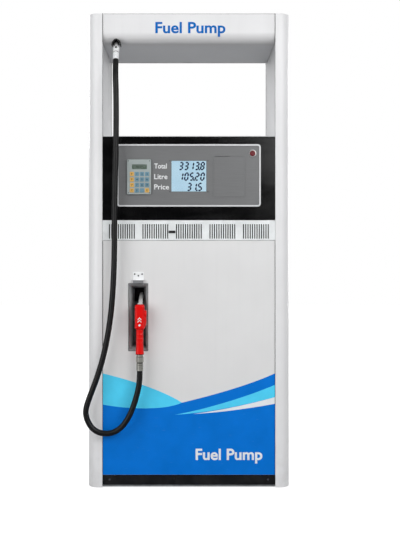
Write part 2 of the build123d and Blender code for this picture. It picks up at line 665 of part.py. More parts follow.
def nozzle_boot():
    """Tray sunk into the front door, with a deep pocket for the spout and a rest for the guard."""
    back = -PANEL_Y + BOOT_DEPTH
    middle = (BOOT_TOP + BOOT_BOTTOM) / 2
    front = -PANEL_Y - BOOT_WALL
    rim = panel((BOOT_X, middle), (BOOT_WIDTH, BOOT_TOP - BOOT_BOTTOM), (front, -PANEL_Y), BOOT_RIM)
    shape = rim + boot_cone(0, (-PANEL_Y, back))
    shape -= boot_cone(BOOT_WALL, (front - 1, back - BOOT_WALL))
    wide = POCKET[0] + 2 * BOOT_WALL
    high = POCKET[1] + 2 * BOOT_WALL
    shape += panel((BOOT_X, POCKET_Z), (wide, high), (back - BOOT_WALL, back + POCKET[2]), 4)
    shape -= panel((BOOT_X, POCKET_Z), POCKET[:2], (back - BOOT_WALL - 1, back + POCKET[2] - BOOT_WALL), 2.5)
    rest_x = (NOZZLE_X - REST_WIDTH / 2, NOZZLE_X + REST_WIDTH / 2)
    rest_y = [NOZZLE_Y + behind for behind in REST_BEHIND]
    rest = block(rest_x, rest_y, (BOOT_BOTTOM + REST_BOTTOM, guard_low(REST_BEHIND[0]) - FIT))
    return shape + rest


def hasp_bracket():
    """Bracket above the boot, with a lip bent forwards that takes a padlock."""
    x = BOOT_X + HASP_SHIFT
    face = (-PANEL_Y - SHEET, -PANEL_Y)
    plate_z = HASP_BOTTOM + HASP_SIZE[1] / 2
    plate = panel((x, plate_z), HASP_SIZE, face, 3)
    for dx, dz in HASP_HOLES:
        centre = (x + dx, plate_z + dz)
        plate -= bar((centre[0], face[0] - 1, centre[1]), (centre[0], face[1] + 1, centre[1]), HASP_HOLE_R)
    lip_x = (x - HASP_LIP_WIDTH / 2, x + HASP_LIP_WIDTH / 2)
    front = -PANEL_Y - HASP_LIP_PROUD
    lip = block(lip_x, (front, face[0] + 0.5), (HASP_BOTTOM, HASP_BOTTOM + SHEET))
    drop = block(lip_x, (front, front + SHEET), (HASP_BOTTOM - HASP_LIP, HASP_BOTTOM + 1))
    return plate + lip + drop


def nozzle_body():
    """Casting of the nozzle: valve body, grip and lever guard, with the cross pin of the lever."""
    wide, deep = BODY_SIZE
    valve = block((-wide / 2, wide / 2), (-deep / 2, deep / 2), (GRIP_TOP, NOZZLE_TOP))
    valve = fillet(valve.edges(), VALVE_EDGE_R)
    proud, cap_y, cap_edge = CAP_SIDE
    cap = bar((0, cap_y, CAP_Z), (wide / 2 + proud, cap_y, CAP_Z), CAP_R)
    cap = fillet(cap.faces().sort_by(Axis.X)[-1].edges(), cap_edge)
    grip_plane = Plane.XY.offset(GRIP_BOTTOM)
    narrow_plane = Plane.XY.offset(GRIP_BOTTOM + GRIP_FLARE)
    narrow = RectangleRounded(GRIP_SIZE[0], GRIP_SIZE[1], GRIP_CORNERS[0])
    flare = RectangleRounded(GRIP_END, GRIP_END, GRIP_CORNERS[1])
    grip = loft([grip_plane * flare, narrow_plane * narrow])
    grip += extrude(narrow_plane * narrow, amount=GRIP_TOP + GRIP_SUNK - GRIP_BOTTOM - GRIP_FLARE)
    half = GUARD_WIDTH / 2
    inner = offset(make_face(Polyline(*GUARD_OUTLINE, close=True)), -GUARD_STRIP, kind=Kind.INTERSECTION)
    inner = fillet(inner.vertices(), GUARD_CORNER_R - GUARD_STRIP / 2)
    guard = side_shape(GUARD_OUTLINE, (-half, half), GUARD_CORNER_R)
    guard -= Pos(-half - 1, 0, 0) * extrude(Plane.YZ * inner, amount=GUARD_WIDTH + 2)
    pivot_y, pivot_z = LEVER_PIVOT
    ear_in = LEVER_THICK / 2 + FIT
    shape = valve + cap + grip + guard
    for side in (-1, 1):
        x = sorted((side * ear_in, side * (ear_in + EAR_THICK)))
        shape += block(x, (EAR_FRONT, pivot_y), (pivot_z - LEVER_EYE_R, pivot_z + LEVER_EYE_R))
        shape += bar((x[0], pivot_y, pivot_z), (x[1], pivot_y, pivot_z), LEVER_EYE_R)
    slot_y = (pivot_y - LEVER_EYE_R - 1, pivot_y + LEVER_EYE_R + 1)
    shape -= block((-ear_in, ear_in), slot_y, (pivot_z - EYE_SLOT, pivot_z + EYE_SLOT))
    pin = bar((-ear_in - 1, pivot_y, pivot_z), (ear_in + 1, pivot_y, pivot_z), LEVER_PIN_R)
    return Pos(NOZZLE_X, NOZZLE_Y, 0) * (shape + pin - spout_socket(FIT))


def nozzle_lever():
    """Trigger lever: an eye on the cross pin and a curved blade inside the guard."""
    y, z = LEVER_PIVOT
    half = LEVER_THICK / 2
    blade = [(y - 3, z), (y + 5, z + 3), (y + 17, z - 25), (y + 28, z - 48), (y + 32, z - 82),
             (y + 26, z - 84), (y + 22, z - 50), (y + 10, z - 24)]
    shape = bar((-half, y, z), (half, y, z), LEVER_EYE_R) + side_shape(blade, (-half, half), 1.5)
    shape -= bar((-half - 1, y, z), (half + 1, y, z), LEVER_PIN_R + RUN)
    return Pos(NOZZLE_X, NOZZLE_Y, 0) * shape


def spout_socket(clearance):
    """Round seat of the spout in the valve body, as a solid that reaches out past the body."""
    start, bend = [Vector(0, y, z) for y, z in SPOUT_LINE[:2]]
    along = (bend - start).normalized()
    return bar(start - along * clearance, start + along * SPOUT_SOCKET, SPOUT_R + SPOUT_COLLAR + clearance)


def nozzle_spout():
    """Bent steel tube that points back and up into the boot's pocket."""
    points = [(0, y, z) for y, z in SPOUT_LINE]
    path = FilletPolyline(*points, radius=SPOUT_BEND)
    start = Plane(origin=path @ 0, z_dir=path % 0)
    shape = sweep(start * Circle(SPOUT_R), path=path) - sweep(start * Circle(SPOUT_R - SPOUT_WALL), path=path)
    collar = spout_socket(0) - bar(path @ 0, path @ 0.3, SPOUT_R - 0.5)
    return Pos(NOZZLE_X, NOZZLE_Y, 0) * (shape + collar)


def nozzle_swivel():
    """Coupling between the hose and the grip: a ferrule, a neck and a hexagon nut."""
    low = SWIVEL_BOTTOM

    def turned(radius, bottom, length):
        return extrude(Plane.XY.offset(low + bottom) * Circle(radius), amount=length)

    radius, neck_low = SWIVEL_FERRULE
    shape = turned(radius, 0, neck_low)
    for step in FERRULE_GROOVES:
        shape -= turned(radius + 1, step, FERRULE_GROOVE) - turned(radius - 0.8, step, FERRULE_GROOVE)
    shape += turned(SWIVEL_NECK[0], neck_low, SWIVEL_NECK[1])
    nut_low = neck_low + SWIVEL_NECK[1]
    nut = extrude(Plane.XY.offset(low + nut_low) * RegularPolygon(SWIVEL_NUT[0], 6), amount=SWIVEL_NUT[1])
    shape += nut & turned(SWIVEL_NUT_R, nut_low, SWIVEL_NUT[1])
    ring_low = nut_low + SWIVEL_NUT[1]
    shape += turned(SWIVEL_RING_R, ring_low, SWIVEL_LENGTH - FIT - ring_low)
    return Pos(NOZZLE_X, NOZZLE_Y, 0) * shape


def hose_radii():
    """Each bend takes up 0.45 of the shorter of its two runs."""
    points = [Vector(*point) for point in HOSE_ROUTE]
    radii = []
    for before, corner, after in zip(points, points[1:], points[2:]):
        turn = math.radians((corner - before).get_angle(after - corner))
        shorter = min((corner - before).length, (after - corner).length)
        radii.append(0.45 * shorter / math.tan(turn / 2))
    return radii


def hose():
    radii = hose_radii()
    print("hose bend radii:", [round(radius) for radius in radii])
    path = FilletPolyline(*HOSE_ROUTE, radius=radii)
    section = Plane(origin=path @ 0, z_dir=path % 0) * Circle(HOSE_D / 2)
    tube = sweep(section, path=path)
    expected = path.length * math.pi * (HOSE_D / 2) ** 2
    print(f"hose length {path.length:.1f} mm, volume against section times length {tube.volume / expected:.4f}")
    return tube


def outlet_line():
    """Points of the outlet's axis: hose end, top of the ferrule, elbow, and the end inside the header."""
    end = Vector(*OUTLET_END)
    up = (Vector(*HOSE_ROUTE[0]) - Vector(*HOSE_ROUTE[1])).normalized()
    elbow = end + up * OUTLET_ELBOW
    lean = math.radians(OUTLET_NECK_ANGLE)
    back = Vector(0, math.sin(lean), math.cos(lean))
    return end, end + up * OUTLET_FERRULE, elbow, elbow + back * OUTLET_NECK


def outlet_swivel():
    """Swivel that the hose hangs from: ferrule, joint, elbow, and the neck that enters the header."""
    end, joint, elbow, inside = outlet_line()
    up = (joint - end).normalized()
    shape = bar(end, joint, OUTLET_R - 0.5)
    for step in FERRULE_GROOVES:
        ends = (end + up * step, end + up * (step + FERRULE_GROOVE))
        shape -= bar(*ends, OUTLET_R + 1) - bar(*ends, OUTLET_R - 1.4)
    deep, long = OUTLET_JOINT
    shape += bar(joint, joint + up * long, OUTLET_R - deep)
    shape += bar(joint + up * long, elbow, OUTLET_R)
    shape += Pos(elbow) * Sphere(OUTLET_R)
    shape += bar(elbow, inside, OUTLET_NECK_R)
    facing = Vector(0, -1, 0.25).normalized()
    return shape - bar(elbow + facing * (OUTLET_R - 2), elbow + facing * (OUTLET_R + 5), OUTLET_DIMPLE_R)


# ---- pump compartment -------------------------------------------------------------------------------
def pulley(x, z, radius, house_y):
    """Grooved pulley with its shaft, which runs in the housing behind it."""
    front = PULLEY_Y - PULLEY_WIDTH / 2
    back = PULLEY_Y + PULLEY_WIDTH / 2
    outer = radius + GROOVE_DEEP
    shape = bar((x, front, z), (x, back, z), outer)
    groove = (PULLEY_Y - GROOVE_WIDTH / 2, PULLEY_Y + GROOVE_WIDTH / 2)
    shape -= bar((x, groove[0], z), (x, groove[1], z), outer + 1) - bar((x, groove[0], z), (x, groove[1], z), radius)
    web = radius - PULLEY_WEB[0]
    hub = SHAFT_R + PULLEY_HUB
    if web > hub + PULLEY_WEB[0]:
        ends = ((x, front - 1, z), (x, front + PULLEY_WEB[1], z))
        shape -= bar(*ends, web) - bar(*ends, hub)
    return shape + bar((x, front - SHAFT_END, z), (x, house_y + SHAFT_IN_HOUSING, z), SHAFT_R)


def belt():
    """V-belt round both pulleys, just clear of the bottoms of their grooves."""
    def loop(extra):
        circles = [
            Pos(PUMP_X, PUMP_SHAFT_Z) * Circle(PUMP_PULLEY_R + extra),
            Pos(MOTOR_X, MOTOR_SHAFT_Z) * Circle(MOTOR_PULLEY_R + extra),
        ]
        return make_hull((circles[0] + circles[1]).edges())

    ring = loop(FIT + BELT_THICK) - loop(FIT)
    plane = Plane(origin=(0, PULLEY_Y + BELT_WIDTH / 2, 0), x_dir=(1, 0, 0), z_dir=(0, -1, 0))
    return extrude(plane * ring, amount=BELT_WIDTH)


def motor():
    """Explosion-proof motor with cooling ribs, a terminal box and feet on the rails."""
    x = MOTOR_X
    z = MOTOR_SHAFT_Z
    y0, y1 = MOTOR_Y
    shape = bar((x, y0, z), (x, y1, z), MOTOR_R)
    for step in range(MOTOR_RIBS):
        y = y0 + MOTOR_RIB_START + step * MOTOR_RIB_PITCH
        shape += bar((x, y, z), (x, y + MOTOR_RIB[1], z), MOTOR_R + MOTOR_RIB[0])
    wide, ends, high = TERMINAL_BOX
    top = z + MOTOR_R
    shape += block((x - wide / 2, x + wide / 2), (y0 + ends, y1 - ends), (top - TERMINAL_SUNK, top + high))
    wide, deep, below = MOTOR_FEET
    for side in (-1, 1):
        y = side * RAIL_Y
        shape += block((x - wide / 2, x + wide / 2), (y - deep / 2, y + deep / 2), (PUMP_FLOOR, z - below))
    return shape - bar((x, y0 - 1, z), (x, y0 + SHAFT_SOCKET, z), SHAFT_R + RUN)


def pump_unit():
    """Pump casting with its air separator, filter cap, inlet pipe and feet on the rails."""
    x = PUMP_X
    wide, deep = PUMP_SIZE
    front = MOTOR_Y[0]
    middle = front + deep / 2
    shape = block((x - wide / 2, x + wide / 2), (front, front + deep), (PUMP_FLOOR + PUMP_UNDER, PUMP_TOP))
    shape = fillet(shape.edges().filter_by(Axis.Z), PUMP_CORNER_R)
    shape += bar((x, middle, PUMP_TOP - 1), (x, middle, PUMP_TOP + SEPARATOR[1]), SEPARATOR[0])
    filter_at = (x - FILTER_OFFSET[0], front + deep - FILTER_OFFSET[1])
    shape += bar((*filter_at, PUMP_TOP - 1), (*filter_at, PUMP_TOP + FILTER[1]), FILTER[0])
    foot_x, foot_y, foot_z = PUMP_FEET
    for side in (-1, 1):
        y = side * RAIL_Y
        foot = ((x - foot_x / 2, x + foot_x / 2), (y - foot_y / 2, y + foot_y / 2))
        shape += block(*foot, (PUMP_FLOOR, PUMP_FLOOR + foot_z))
    under = PUMP_FLOOR + PUMP_UNDER
    shape += bar((x, 0, under + 2), (x, 0, INLET_END), INLET_R)
    shape += bar((x, 0, under + 1), (x, 0, under + 1 - INLET_FLANGE[1]), INLET_R + INLET_FLANGE[0])
    arm_z = PUMP_TOP - OUTLET_ARM_BELOW
    stub_r, below, above = RISER_STUB
    shape += bar((x, RISER_Y, arm_z), (METER_X, RISER_Y, arm_z), OUTLET_ARM_R)
    shape += bar((METER_X, RISER_Y, arm_z - below), (METER_X, RISER_Y, arm_z + above), stub_r)
    return shape - bar((x, front - 1, PUMP_SHAFT_Z), (x, front + SHAFT_SOCKET, PUMP_SHAFT_Z), SHAFT_R + RUN)


def flow_meter():
    """Four-piston meter."""
    x, y = METER_X, RISER_Y
    shape = bar((x, y, METER_BOTTOM), (x, y, METER_TOP), METER_R)
    middle = (METER_BOTTOM + METER_TOP) / 2
    for dx, dy in ((1, 0), (-1, 0), (0, 1), (0, -1)):
        end = (x + dx * METER_PISTON_REACH, y + dy * METER_PISTON_REACH, middle)
        shape += bar((x, y, middle), end, METER_PISTON_R)
    shape += bar((x, y, METER_TOP - 1), (x, y, METER_TOP + METER_NECK[1]), METER_NECK[0])
    wide, deep, high = METER_HEAD
    face = y - METER_HEAD_Y
    shape += block((x - wide / 2, x + wide / 2), (face - deep / 2, face + deep / 2), (METER_TOP - 1, METER_TOP + high))
    bore = (METER_TOP - METER_NECK_BORE, METER_TOP + METER_NECK_BORE)
    return shape - bar((x, y, bore[0]), (x, y, bore[1]), ENCODER_SHAFT_R + RUN)


def meter_encoder():
    """Disc on the meter's shaft that a sensor counts."""
    x, y = METER_X, RISER_Y
    base = METER_TOP + METER_NECK[1]
    shape = bar((x, y, base - ENCODER_SHAFT[0]), (x, y, base + ENCODER_SHAFT[1]), ENCODER_SHAFT_R)
    low = base + ENCODER_DISC[0]
    high = low + ENCODER_DISC[1]
    disc = bar((x, y, low), (x, y, high), ENCODER_R)
    circle, radius = ENCODER_HOLE
    for turn in range(ENCODER_HOLES):
        angle = math.radians(360 / ENCODER_HOLES * turn)
        hole = (x + circle * math.cos(angle), y + circle * math.sin(angle))
        disc -= bar((*hole, low - 1), (*hole, high + 1), radius)
    return shape + disc


def riser_bottom():
    return (METER_BOTTOM + METER_TOP) / 2


def pipework():
    """Pipe from the pump to the meter, and the riser up the left column to the hose outlet."""
    feed_low = PUMP_TOP - OUTLET_ARM_BELOW + RISER_STUB[2]
    feed = bar((METER_X, RISER_Y, feed_low), (METER_X, RISER_Y, METER_BOTTOM), PIPE_R)
    wider, thick = PIPE_FLANGE
    for z in (feed_low, METER_BOTTOM - thick):
        feed += bar((METER_X, RISER_Y, z), (METER_X, RISER_Y, z + thick), PIPE_R + wider)
    inside = outlet_line()[3]
    lean = math.radians(OUTLET_NECK_ANGLE)
    rise = RISER_TOP - inside.Z
    corner = (inside.X, inside.Y + rise * math.tan(lean), RISER_TOP)
    column_x = -(WIDTH - COLUMN_WIDTH) / 2
    route = [
        (METER_X - METER_PISTON_REACH, RISER_Y, riser_bottom()),
        (column_x, RISER_Y, riser_bottom()),
        (column_x, RISER_Y, RISER_TOP),
        (inside.X, RISER_Y, RISER_TOP),
        corner,
        (inside.X, inside.Y, inside.Z),
    ]
    path = FilletPolyline(*route, radius=PIPE_BEND)
    riser = sweep(Plane(origin=path @ 0, z_dir=path % 0) * Circle(PIPE_R), path=path)
    return Compound(children=[feed, riser])


# ---- write every piece ----------------------------------------------------------------------------
os.makedirs("parts", exist_ok=True)

save("base_frame", base_frame())
save("left_column", left_column())
save("right_column", column(1))
save("header_front", header_front())
save("header_rear", at_rear(fascia()))
save("header_soffit", header_soffit())
save("header_roof", header_roof())
save("head_sill", head_sill())
save("head_shelf", head_shelf())
save("head_front_panel", head_front_panel())
save("rear_head_door", hinged_door(HEAD_BOTTOM + SEAM, SILL_TOP - PLATE - SEAM, HEAD_HINGES))
save("vent_strip_front", vent_strip())
save("vent_strip_rear", at_rear(vent_strip()))
save("front_door", front_door())
save("rear_door", hinged_door(KICK_TOP + SEAM, STRIP_BOTTOM - SEAM, DOOR_HINGES))
save("hinges", hinges())
save("kickplates", kickplates())
save("front_latch", latch())
save("rear_latch", at_rear(latch()))

save("display_panel", display_panel())
save("lcd_window", lcd_window())
save("lcd_module", lcd_module())
save("blank_cover", blank_cover())
save("stop_button", stop_button())
save("keypad_housing", keypad_housing())
for key_row in range(4):
    for key_column in range(4):
        save(f"key_{key_row + 1}_{key_column + 1}", key(key_row, key_column))
save("control_box", control_box())

save("nozzle_boot", nozzle_boot())
save("hasp_bracket", hasp_bracket())
save("nozzle_body", nozzle_body())
save("nozzle_lever", nozzle_lever())
save("nozzle_spout", nozzle_spout())
save("nozzle_swivel", nozzle_swivel())
save("hose", hose())
save("outlet_swivel", outlet_swivel())
save("outlet_hood", outlet_hood())

save("motor", motor())
save("motor_pulley", pulley(MOTOR_X, MOTOR_SHAFT_Z, MOTOR_PULLEY_R, MOTOR_Y[0]))
save("pump_unit", pump_unit())
save("pump_pulley", pulley(PUMP_X, PUMP_SHAFT_Z, PUMP_PULLEY_R, MOTOR_Y[0]))
save("drive_belt", belt())
save("flow_meter", flow_meter())
save("meter_encoder", meter_encoder())
save("pipework", pipework())
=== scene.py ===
import json
import math

import bmesh
import bpy
from mathutils import Matrix, Vector

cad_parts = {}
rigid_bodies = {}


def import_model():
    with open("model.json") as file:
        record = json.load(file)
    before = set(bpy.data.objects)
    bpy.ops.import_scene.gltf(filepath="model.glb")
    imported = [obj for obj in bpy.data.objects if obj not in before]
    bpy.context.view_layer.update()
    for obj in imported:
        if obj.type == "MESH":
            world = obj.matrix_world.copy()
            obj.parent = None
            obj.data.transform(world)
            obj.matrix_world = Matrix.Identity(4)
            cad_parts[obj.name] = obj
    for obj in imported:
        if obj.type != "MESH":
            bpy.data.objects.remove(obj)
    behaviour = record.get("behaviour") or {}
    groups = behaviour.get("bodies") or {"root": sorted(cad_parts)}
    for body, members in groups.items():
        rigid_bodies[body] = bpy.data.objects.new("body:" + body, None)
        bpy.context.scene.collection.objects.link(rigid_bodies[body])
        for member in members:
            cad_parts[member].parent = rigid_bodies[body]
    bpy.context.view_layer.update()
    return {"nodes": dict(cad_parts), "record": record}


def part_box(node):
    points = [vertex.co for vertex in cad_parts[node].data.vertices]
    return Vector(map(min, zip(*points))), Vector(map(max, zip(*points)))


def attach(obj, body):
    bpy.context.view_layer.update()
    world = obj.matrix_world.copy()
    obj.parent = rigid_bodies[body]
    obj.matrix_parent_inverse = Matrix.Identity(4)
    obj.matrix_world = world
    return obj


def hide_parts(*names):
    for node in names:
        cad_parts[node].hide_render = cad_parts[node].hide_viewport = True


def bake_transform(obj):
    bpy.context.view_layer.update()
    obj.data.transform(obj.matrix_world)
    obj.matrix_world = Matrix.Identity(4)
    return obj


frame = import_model()

# ---- sizes in metres, taken from the frame ----
MM = 0.001
DOOR_LOW, DOOR_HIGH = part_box("front_door")
PANEL_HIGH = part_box("head_front_panel")[1]
PLATE_LOW, PLATE_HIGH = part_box("display_panel")
STRIP_LOW, STRIP_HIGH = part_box("vent_strip_front")
LCD_LOW, LCD_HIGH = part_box("lcd_module")
KEYPAD_LOW, KEYPAD_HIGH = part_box("keypad_housing")
COLUMN_INNER, COLUMN_OUTER = (corner.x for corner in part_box("right_column"))
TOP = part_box("header_roof")[1].z
HEADER_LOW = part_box("header_front")[0].z
DOOR_Y = DOOR_LOW.y
PLATE_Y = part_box("lcd_window")[0].y
VINYL = 0.15 * MM                       # thickness of one layer of the livery


def given(thing, **settings):
    """The thing itself, with its attributes set."""
    for key, value in settings.items():
        setattr(thing, key, value)
    return thing


def srgb(red, green, blue):
    """Linear colour of an 8-bit sRGB one, with alpha."""
    def linear(value):
        value /= 255
        return value / 12.92 if value <= 0.04045 else ((value + 0.055) / 1.055) ** 2.4
    return (linear(red), linear(green), linear(blue), 1.0)


# ---- materials ----
class Nodes:
    """A node tree that nodes are added to."""

    def __init__(self, tree):
        self.nodes, self.links = tree.nodes, tree.links

    def add(self, kind, inputs=None, **settings):
        node = given(self.nodes.new("ShaderNode" + kind), **settings)
        for key, value in (inputs or {}).items():
            self.put(node.inputs[key], value)
        return node

    def put(self, socket, value):
        if isinstance(value, bpy.types.NodeSocket):
            self.links.new(value, socket)
        else:
            socket.default_value = value


class Look(Nodes):
    """The node tree of one material."""

    def __init__(self, name):
        self.material = bpy.data.materials.new(name)
        self.material.use_nodes = True
        super().__init__(self.material.node_tree)
        self.shader = self.nodes["Principled BSDF"]
        self.place = self.add("TexCoord").outputs["Object"]

    def set(self, **values):
        for key, value in values.items():
            self.put(self.shader.inputs[key.replace("_", " ")], value)

    def stretched(self, scale):
        return self.add("Mapping", {"Vector": self.place, "Scale": scale}).outputs["Vector"]

    def noise(self, scale, detail=3.0, vector=None, distortion=0.0):
        inputs = {"Vector": vector or self.place, "Scale": scale, "Detail": detail, "Distortion": distortion}
        return self.add("TexNoise", inputs).outputs["Fac"]

    def map(self, value, low=0.3, high=0.7, to_low=0.0, to_high=1.0):
        inputs = {"Value": value, "From Min": low, "From Max": high, "To Min": to_low, "To Max": to_high}
        return self.add("MapRange", inputs).outputs["Result"]

    def math(self, operation, first, second=0.0):
        node = self.add("Math", operation=operation)
        self.put(node.inputs[0], first)
        self.put(node.inputs[1], second)
        return node.outputs[0]

    def mix(self, share, first, second):
        node = self.add("Mix", data_type="RGBA")
        for index, value in ((0, share), (6, first), (7, second)):
            self.put(node.inputs[index], value)
        return node.outputs[2]

    def bump(self, height, strength, distance, normal=None):
        inputs = {"Height": height, "Strength": strength, "Distance": distance}
        if normal:
            inputs["Normal"] = normal
        return self.add("Bump", inputs).outputs["Normal"]

    def edges(self, radius):
        """1 on sharp edges, 0 away from them."""
        rounded = self.add("Bevel", {"Radius": radius}, samples=4).outputs["Normal"]
        true = self.add("NewGeometry").outputs["True Normal"]
        match = self.add("VectorMath", operation="DOT_PRODUCT")
        self.put(match.inputs[0], rounded)
        self.put(match.inputs[1], true)
        return self.map(self.math("SUBTRACT", 1.0, match.outputs["Value"]), 0.03, 0.3)

    def along(self, axis):
        """Distance from the origin along an axis."""
        return self.add("SeparateXYZ", {"Vector": self.place}).outputs[axis]

    def mottled(self, color, field, dark=0.90, light=1.08, low=0.3, high=0.7):
        """A colour that drifts between a darker and a lighter shade of itself."""
        return self.mix(self.map(field, low, high), shade(color, dark), shade(color, light))

    def over(self, tone, color, share, amount):
        """A tone with part of another colour laid over it."""
        return self.mix(self.math("MULTIPLY", share, amount), tone, color)


DUST = (0.30, 0.28, 0.25, 1.0)
WHITE, WORN_WHITE = (233, 233, 234), (190, 192, 194)


def shade(color, factor):
    """Linear colour of a lighter or darker 8-bit sRGB one, with alpha."""
    return (*(value * factor for value in srgb(*color)[:3]), 1.0)


def painted(name, color, rough=0.36, peel=0.12, coat=0.15, dust=0.14, worn=None, shine=0.5, painted_shade=None):
    """Sprayed enamel: orange peel, rain streaks, dust low down, edges rubbed thin, and painted shade where a
    share of it is given.
    """
    look = Look(name)
    drift = look.noise(3.0, 4.0)
    streak = look.noise(1.0, 4.0, look.stretched((38.0, 38.0, 1.6)))
    grime = look.math("MULTIPLY", look.map(streak, 0.52, 0.74), 0.05)
    tone = look.mix(grime, look.mottled(color, drift, 0.965, 1.03), shade(color, 0.62))
    low = look.map(look.along("Z"), 0.30, 0.0)
    speck = look.map(look.noise(24.0, 6.0), 0.42, 0.66)
    tone = look.over(tone, DUST, look.math("MULTIPLY", low, speck), dust)
    # Painted shade: the paint is darkened by the given share, in place of shade from the lights.
    if painted_shade:
        tone = look.mix(painted_shade(look), tone, shade(color, 0.40))
    if worn:
        rub = look.math("MULTIPLY", look.edges(0.0022), look.map(look.noise(90.0, 5.0), 0.50, 0.62))
        tone = look.mix(rub, tone, srgb(*worn))
    smear = look.noise(11.0, 5.0, distortion=0.6)
    look.set(Base_Color=tone, Roughness=look.map(smear, 0.25, 0.75, rough - 0.05, rough + 0.08))
    look.set(Normal=look.bump(look.noise(420.0, 2.0), peel, 0.0004))
    look.set(Coat_Weight=coat, Coat_Roughness=0.18, Specular_IOR_Level=shine)
    return look.material


def header_painted_shade(look):
    """Share of painted shade on a header: on the curve into the underside and near the ends, where the header
    is shaded.
    """
    under = look.map(look.along("Z"), HEADER_LOW + 46 * MM, HEADER_LOW + 2 * MM)
    across = look.math("ABSOLUTE", look.along("X"))
    ends = look.map(across, COLUMN_INNER - 60 * MM, COLUMN_INNER)
    return look.math("ADD", look.math("MULTIPLY", under, 0.42), look.math("MULTIPLY", ends, 0.10))


def column_painted_shade(look):
    """Share of painted shade on a column: on its inner face, more towards the header."""
    across = look.math("ABSOLUTE", look.along("X"))
    inside = look.map(across, COLUMN_INNER + 1.0 * MM, COLUMN_INNER + 0.6 * MM)
    rise = look.map(look.along("Z"), PANEL_HIGH.z, HEADER_LOW, 0.12, 0.62)
    return look.math("MULTIPLY", inside, rise)


def moulded(name, color, rough=0.45, grain=0.25):
    """Moulded plastic with a spark-eroded grain, polished a little along its edges."""
    look = Look(name)
    drift = look.noise(18.0, 4.0)
    scuff = look.map(look.noise(60.0, 6.0, look.stretched((1.0, 1.0, 0.15))), 0.60, 0.72)
    tone = look.over(look.mottled(color, drift), shade(color, 1.6), scuff, 0.15)
    look.set(Base_Color=look.over(tone, shade(color, 1.5), look.edges(0.0015), 0.25))
    look.set(Roughness=look.map(look.noise(35.0, 4.0), 0.3, 0.7, rough - 0.08, rough + 0.08))
    look.set(Normal=look.bump(look.noise(1500.0, 2.0), grain, 0.0001))
    return look.material


def metal(name, color, rough=0.3, brush=(4.0, 400.0, 400.0), grain=0.2, tarnish=0.15, metallic=1.0):
    """Metal with a drawn or turned grain, small stains and bright edges."""
    look = Look(name)
    lines = look.noise(4.0, 3.0, look.stretched(brush))
    stain = look.map(look.noise(14.0, 6.0, distortion=0.8), 0.48, 0.75)
    tone = look.over(look.mottled(color, lines), shade(color, 0.45), stain, tarnish)
    look.set(Base_Color=look.over(tone, shade(color, 1.35), look.edges(0.0012), 0.5))
    look.set(Metallic=metallic, Roughness=look.map(lines, 0.2, 0.8, rough - 0.06, rough + 0.12))
    look.set(Normal=look.bump(lines, grain, 0.0001))
    return look.material


def cast(name, color, rough=0.6, metallic=0.0):
    """Painted or bare sand casting with a pitted skin and oily stains."""
    look = Look(name)
    pits = look.noise(260.0, 5.0)
    stain = look.map(look.noise(9.0, 6.0, distortion=1.0), 0.45, 0.70)
    tone = look.over(look.mottled(color, pits, 0.75, 1.15, 0.35, 0.65), shade(color, 0.35), stain, 0.45)
    rub = look.math("MULTIPLY", look.edges(0.002), look.map(look.noise(70.0, 5.0), 0.45, 0.60))
    look.set(Base_Color=look.mix(rub, tone, (0.45, 0.44, 0.42, 1.0)), Metallic=metallic)
    look.set(Roughness=look.map(stain, 0.0, 1.0, rough, rough - 0.25))
    look.set(Normal=look.bump(pits, 0.45, 0.0006))
    return look.material


def rubber(name, wrap=0.0):
    """Black rubber, chalky where it is scuffed. wrap is the pitch of the cloth wrap's marks along a hose."""
    look = Look(name)
    scuff = look.map(look.noise(30.0, 6.0, distortion=0.5), 0.50, 0.72)
    tone = look.over(srgb(7, 7, 8), srgb(62, 61, 60), scuff, 0.14)
    look.set(Base_Color=tone, Roughness=look.map(scuff, 0.0, 1.0, 0.36, 0.60), Specular_IOR_Level=0.28)
    normal = look.bump(look.noise(900.0, 3.0), 0.15, 0.0002)
    if wrap:
        uv = look.add("TexCoord").outputs["UV"]
        along = look.add("Mapping", {"Vector": uv, "Scale": (1 / wrap, 1.0, 1.0)}).outputs["Vector"]
        bands = look.add("TexWave", {"Vector": along, "Scale": 0.314, "Distortion": 0.3, "Detail": 2.0})
        normal = look.bump(bands.outputs["Fac"], 0.35, 0.0003, normal)
    look.set(Normal=normal)
    return look.material


def black_gloss():
    """Black back-printed sheet: deep gloss, fine dust and wiping marks."""
    look = Look("look_black_panel")
    wipe = look.noise(6.0, 6.0, look.stretched((1.0, 1.0, 3.5)), 1.2)
    dust = look.map(look.noise(240.0, 8.0), 0.62, 0.78)
    look.set(Base_Color=look.over(srgb(4, 4, 5), srgb(120, 122, 125), dust, 0.06), Coat_Weight=0.2)
    look.set(Roughness=look.map(wipe, 0.3, 0.7, 0.14, 0.24), Coat_Roughness=0.08)
    look.set(Normal=look.bump(look.noise(9.0, 2.0), 0.05, 0.002))
    return look.material


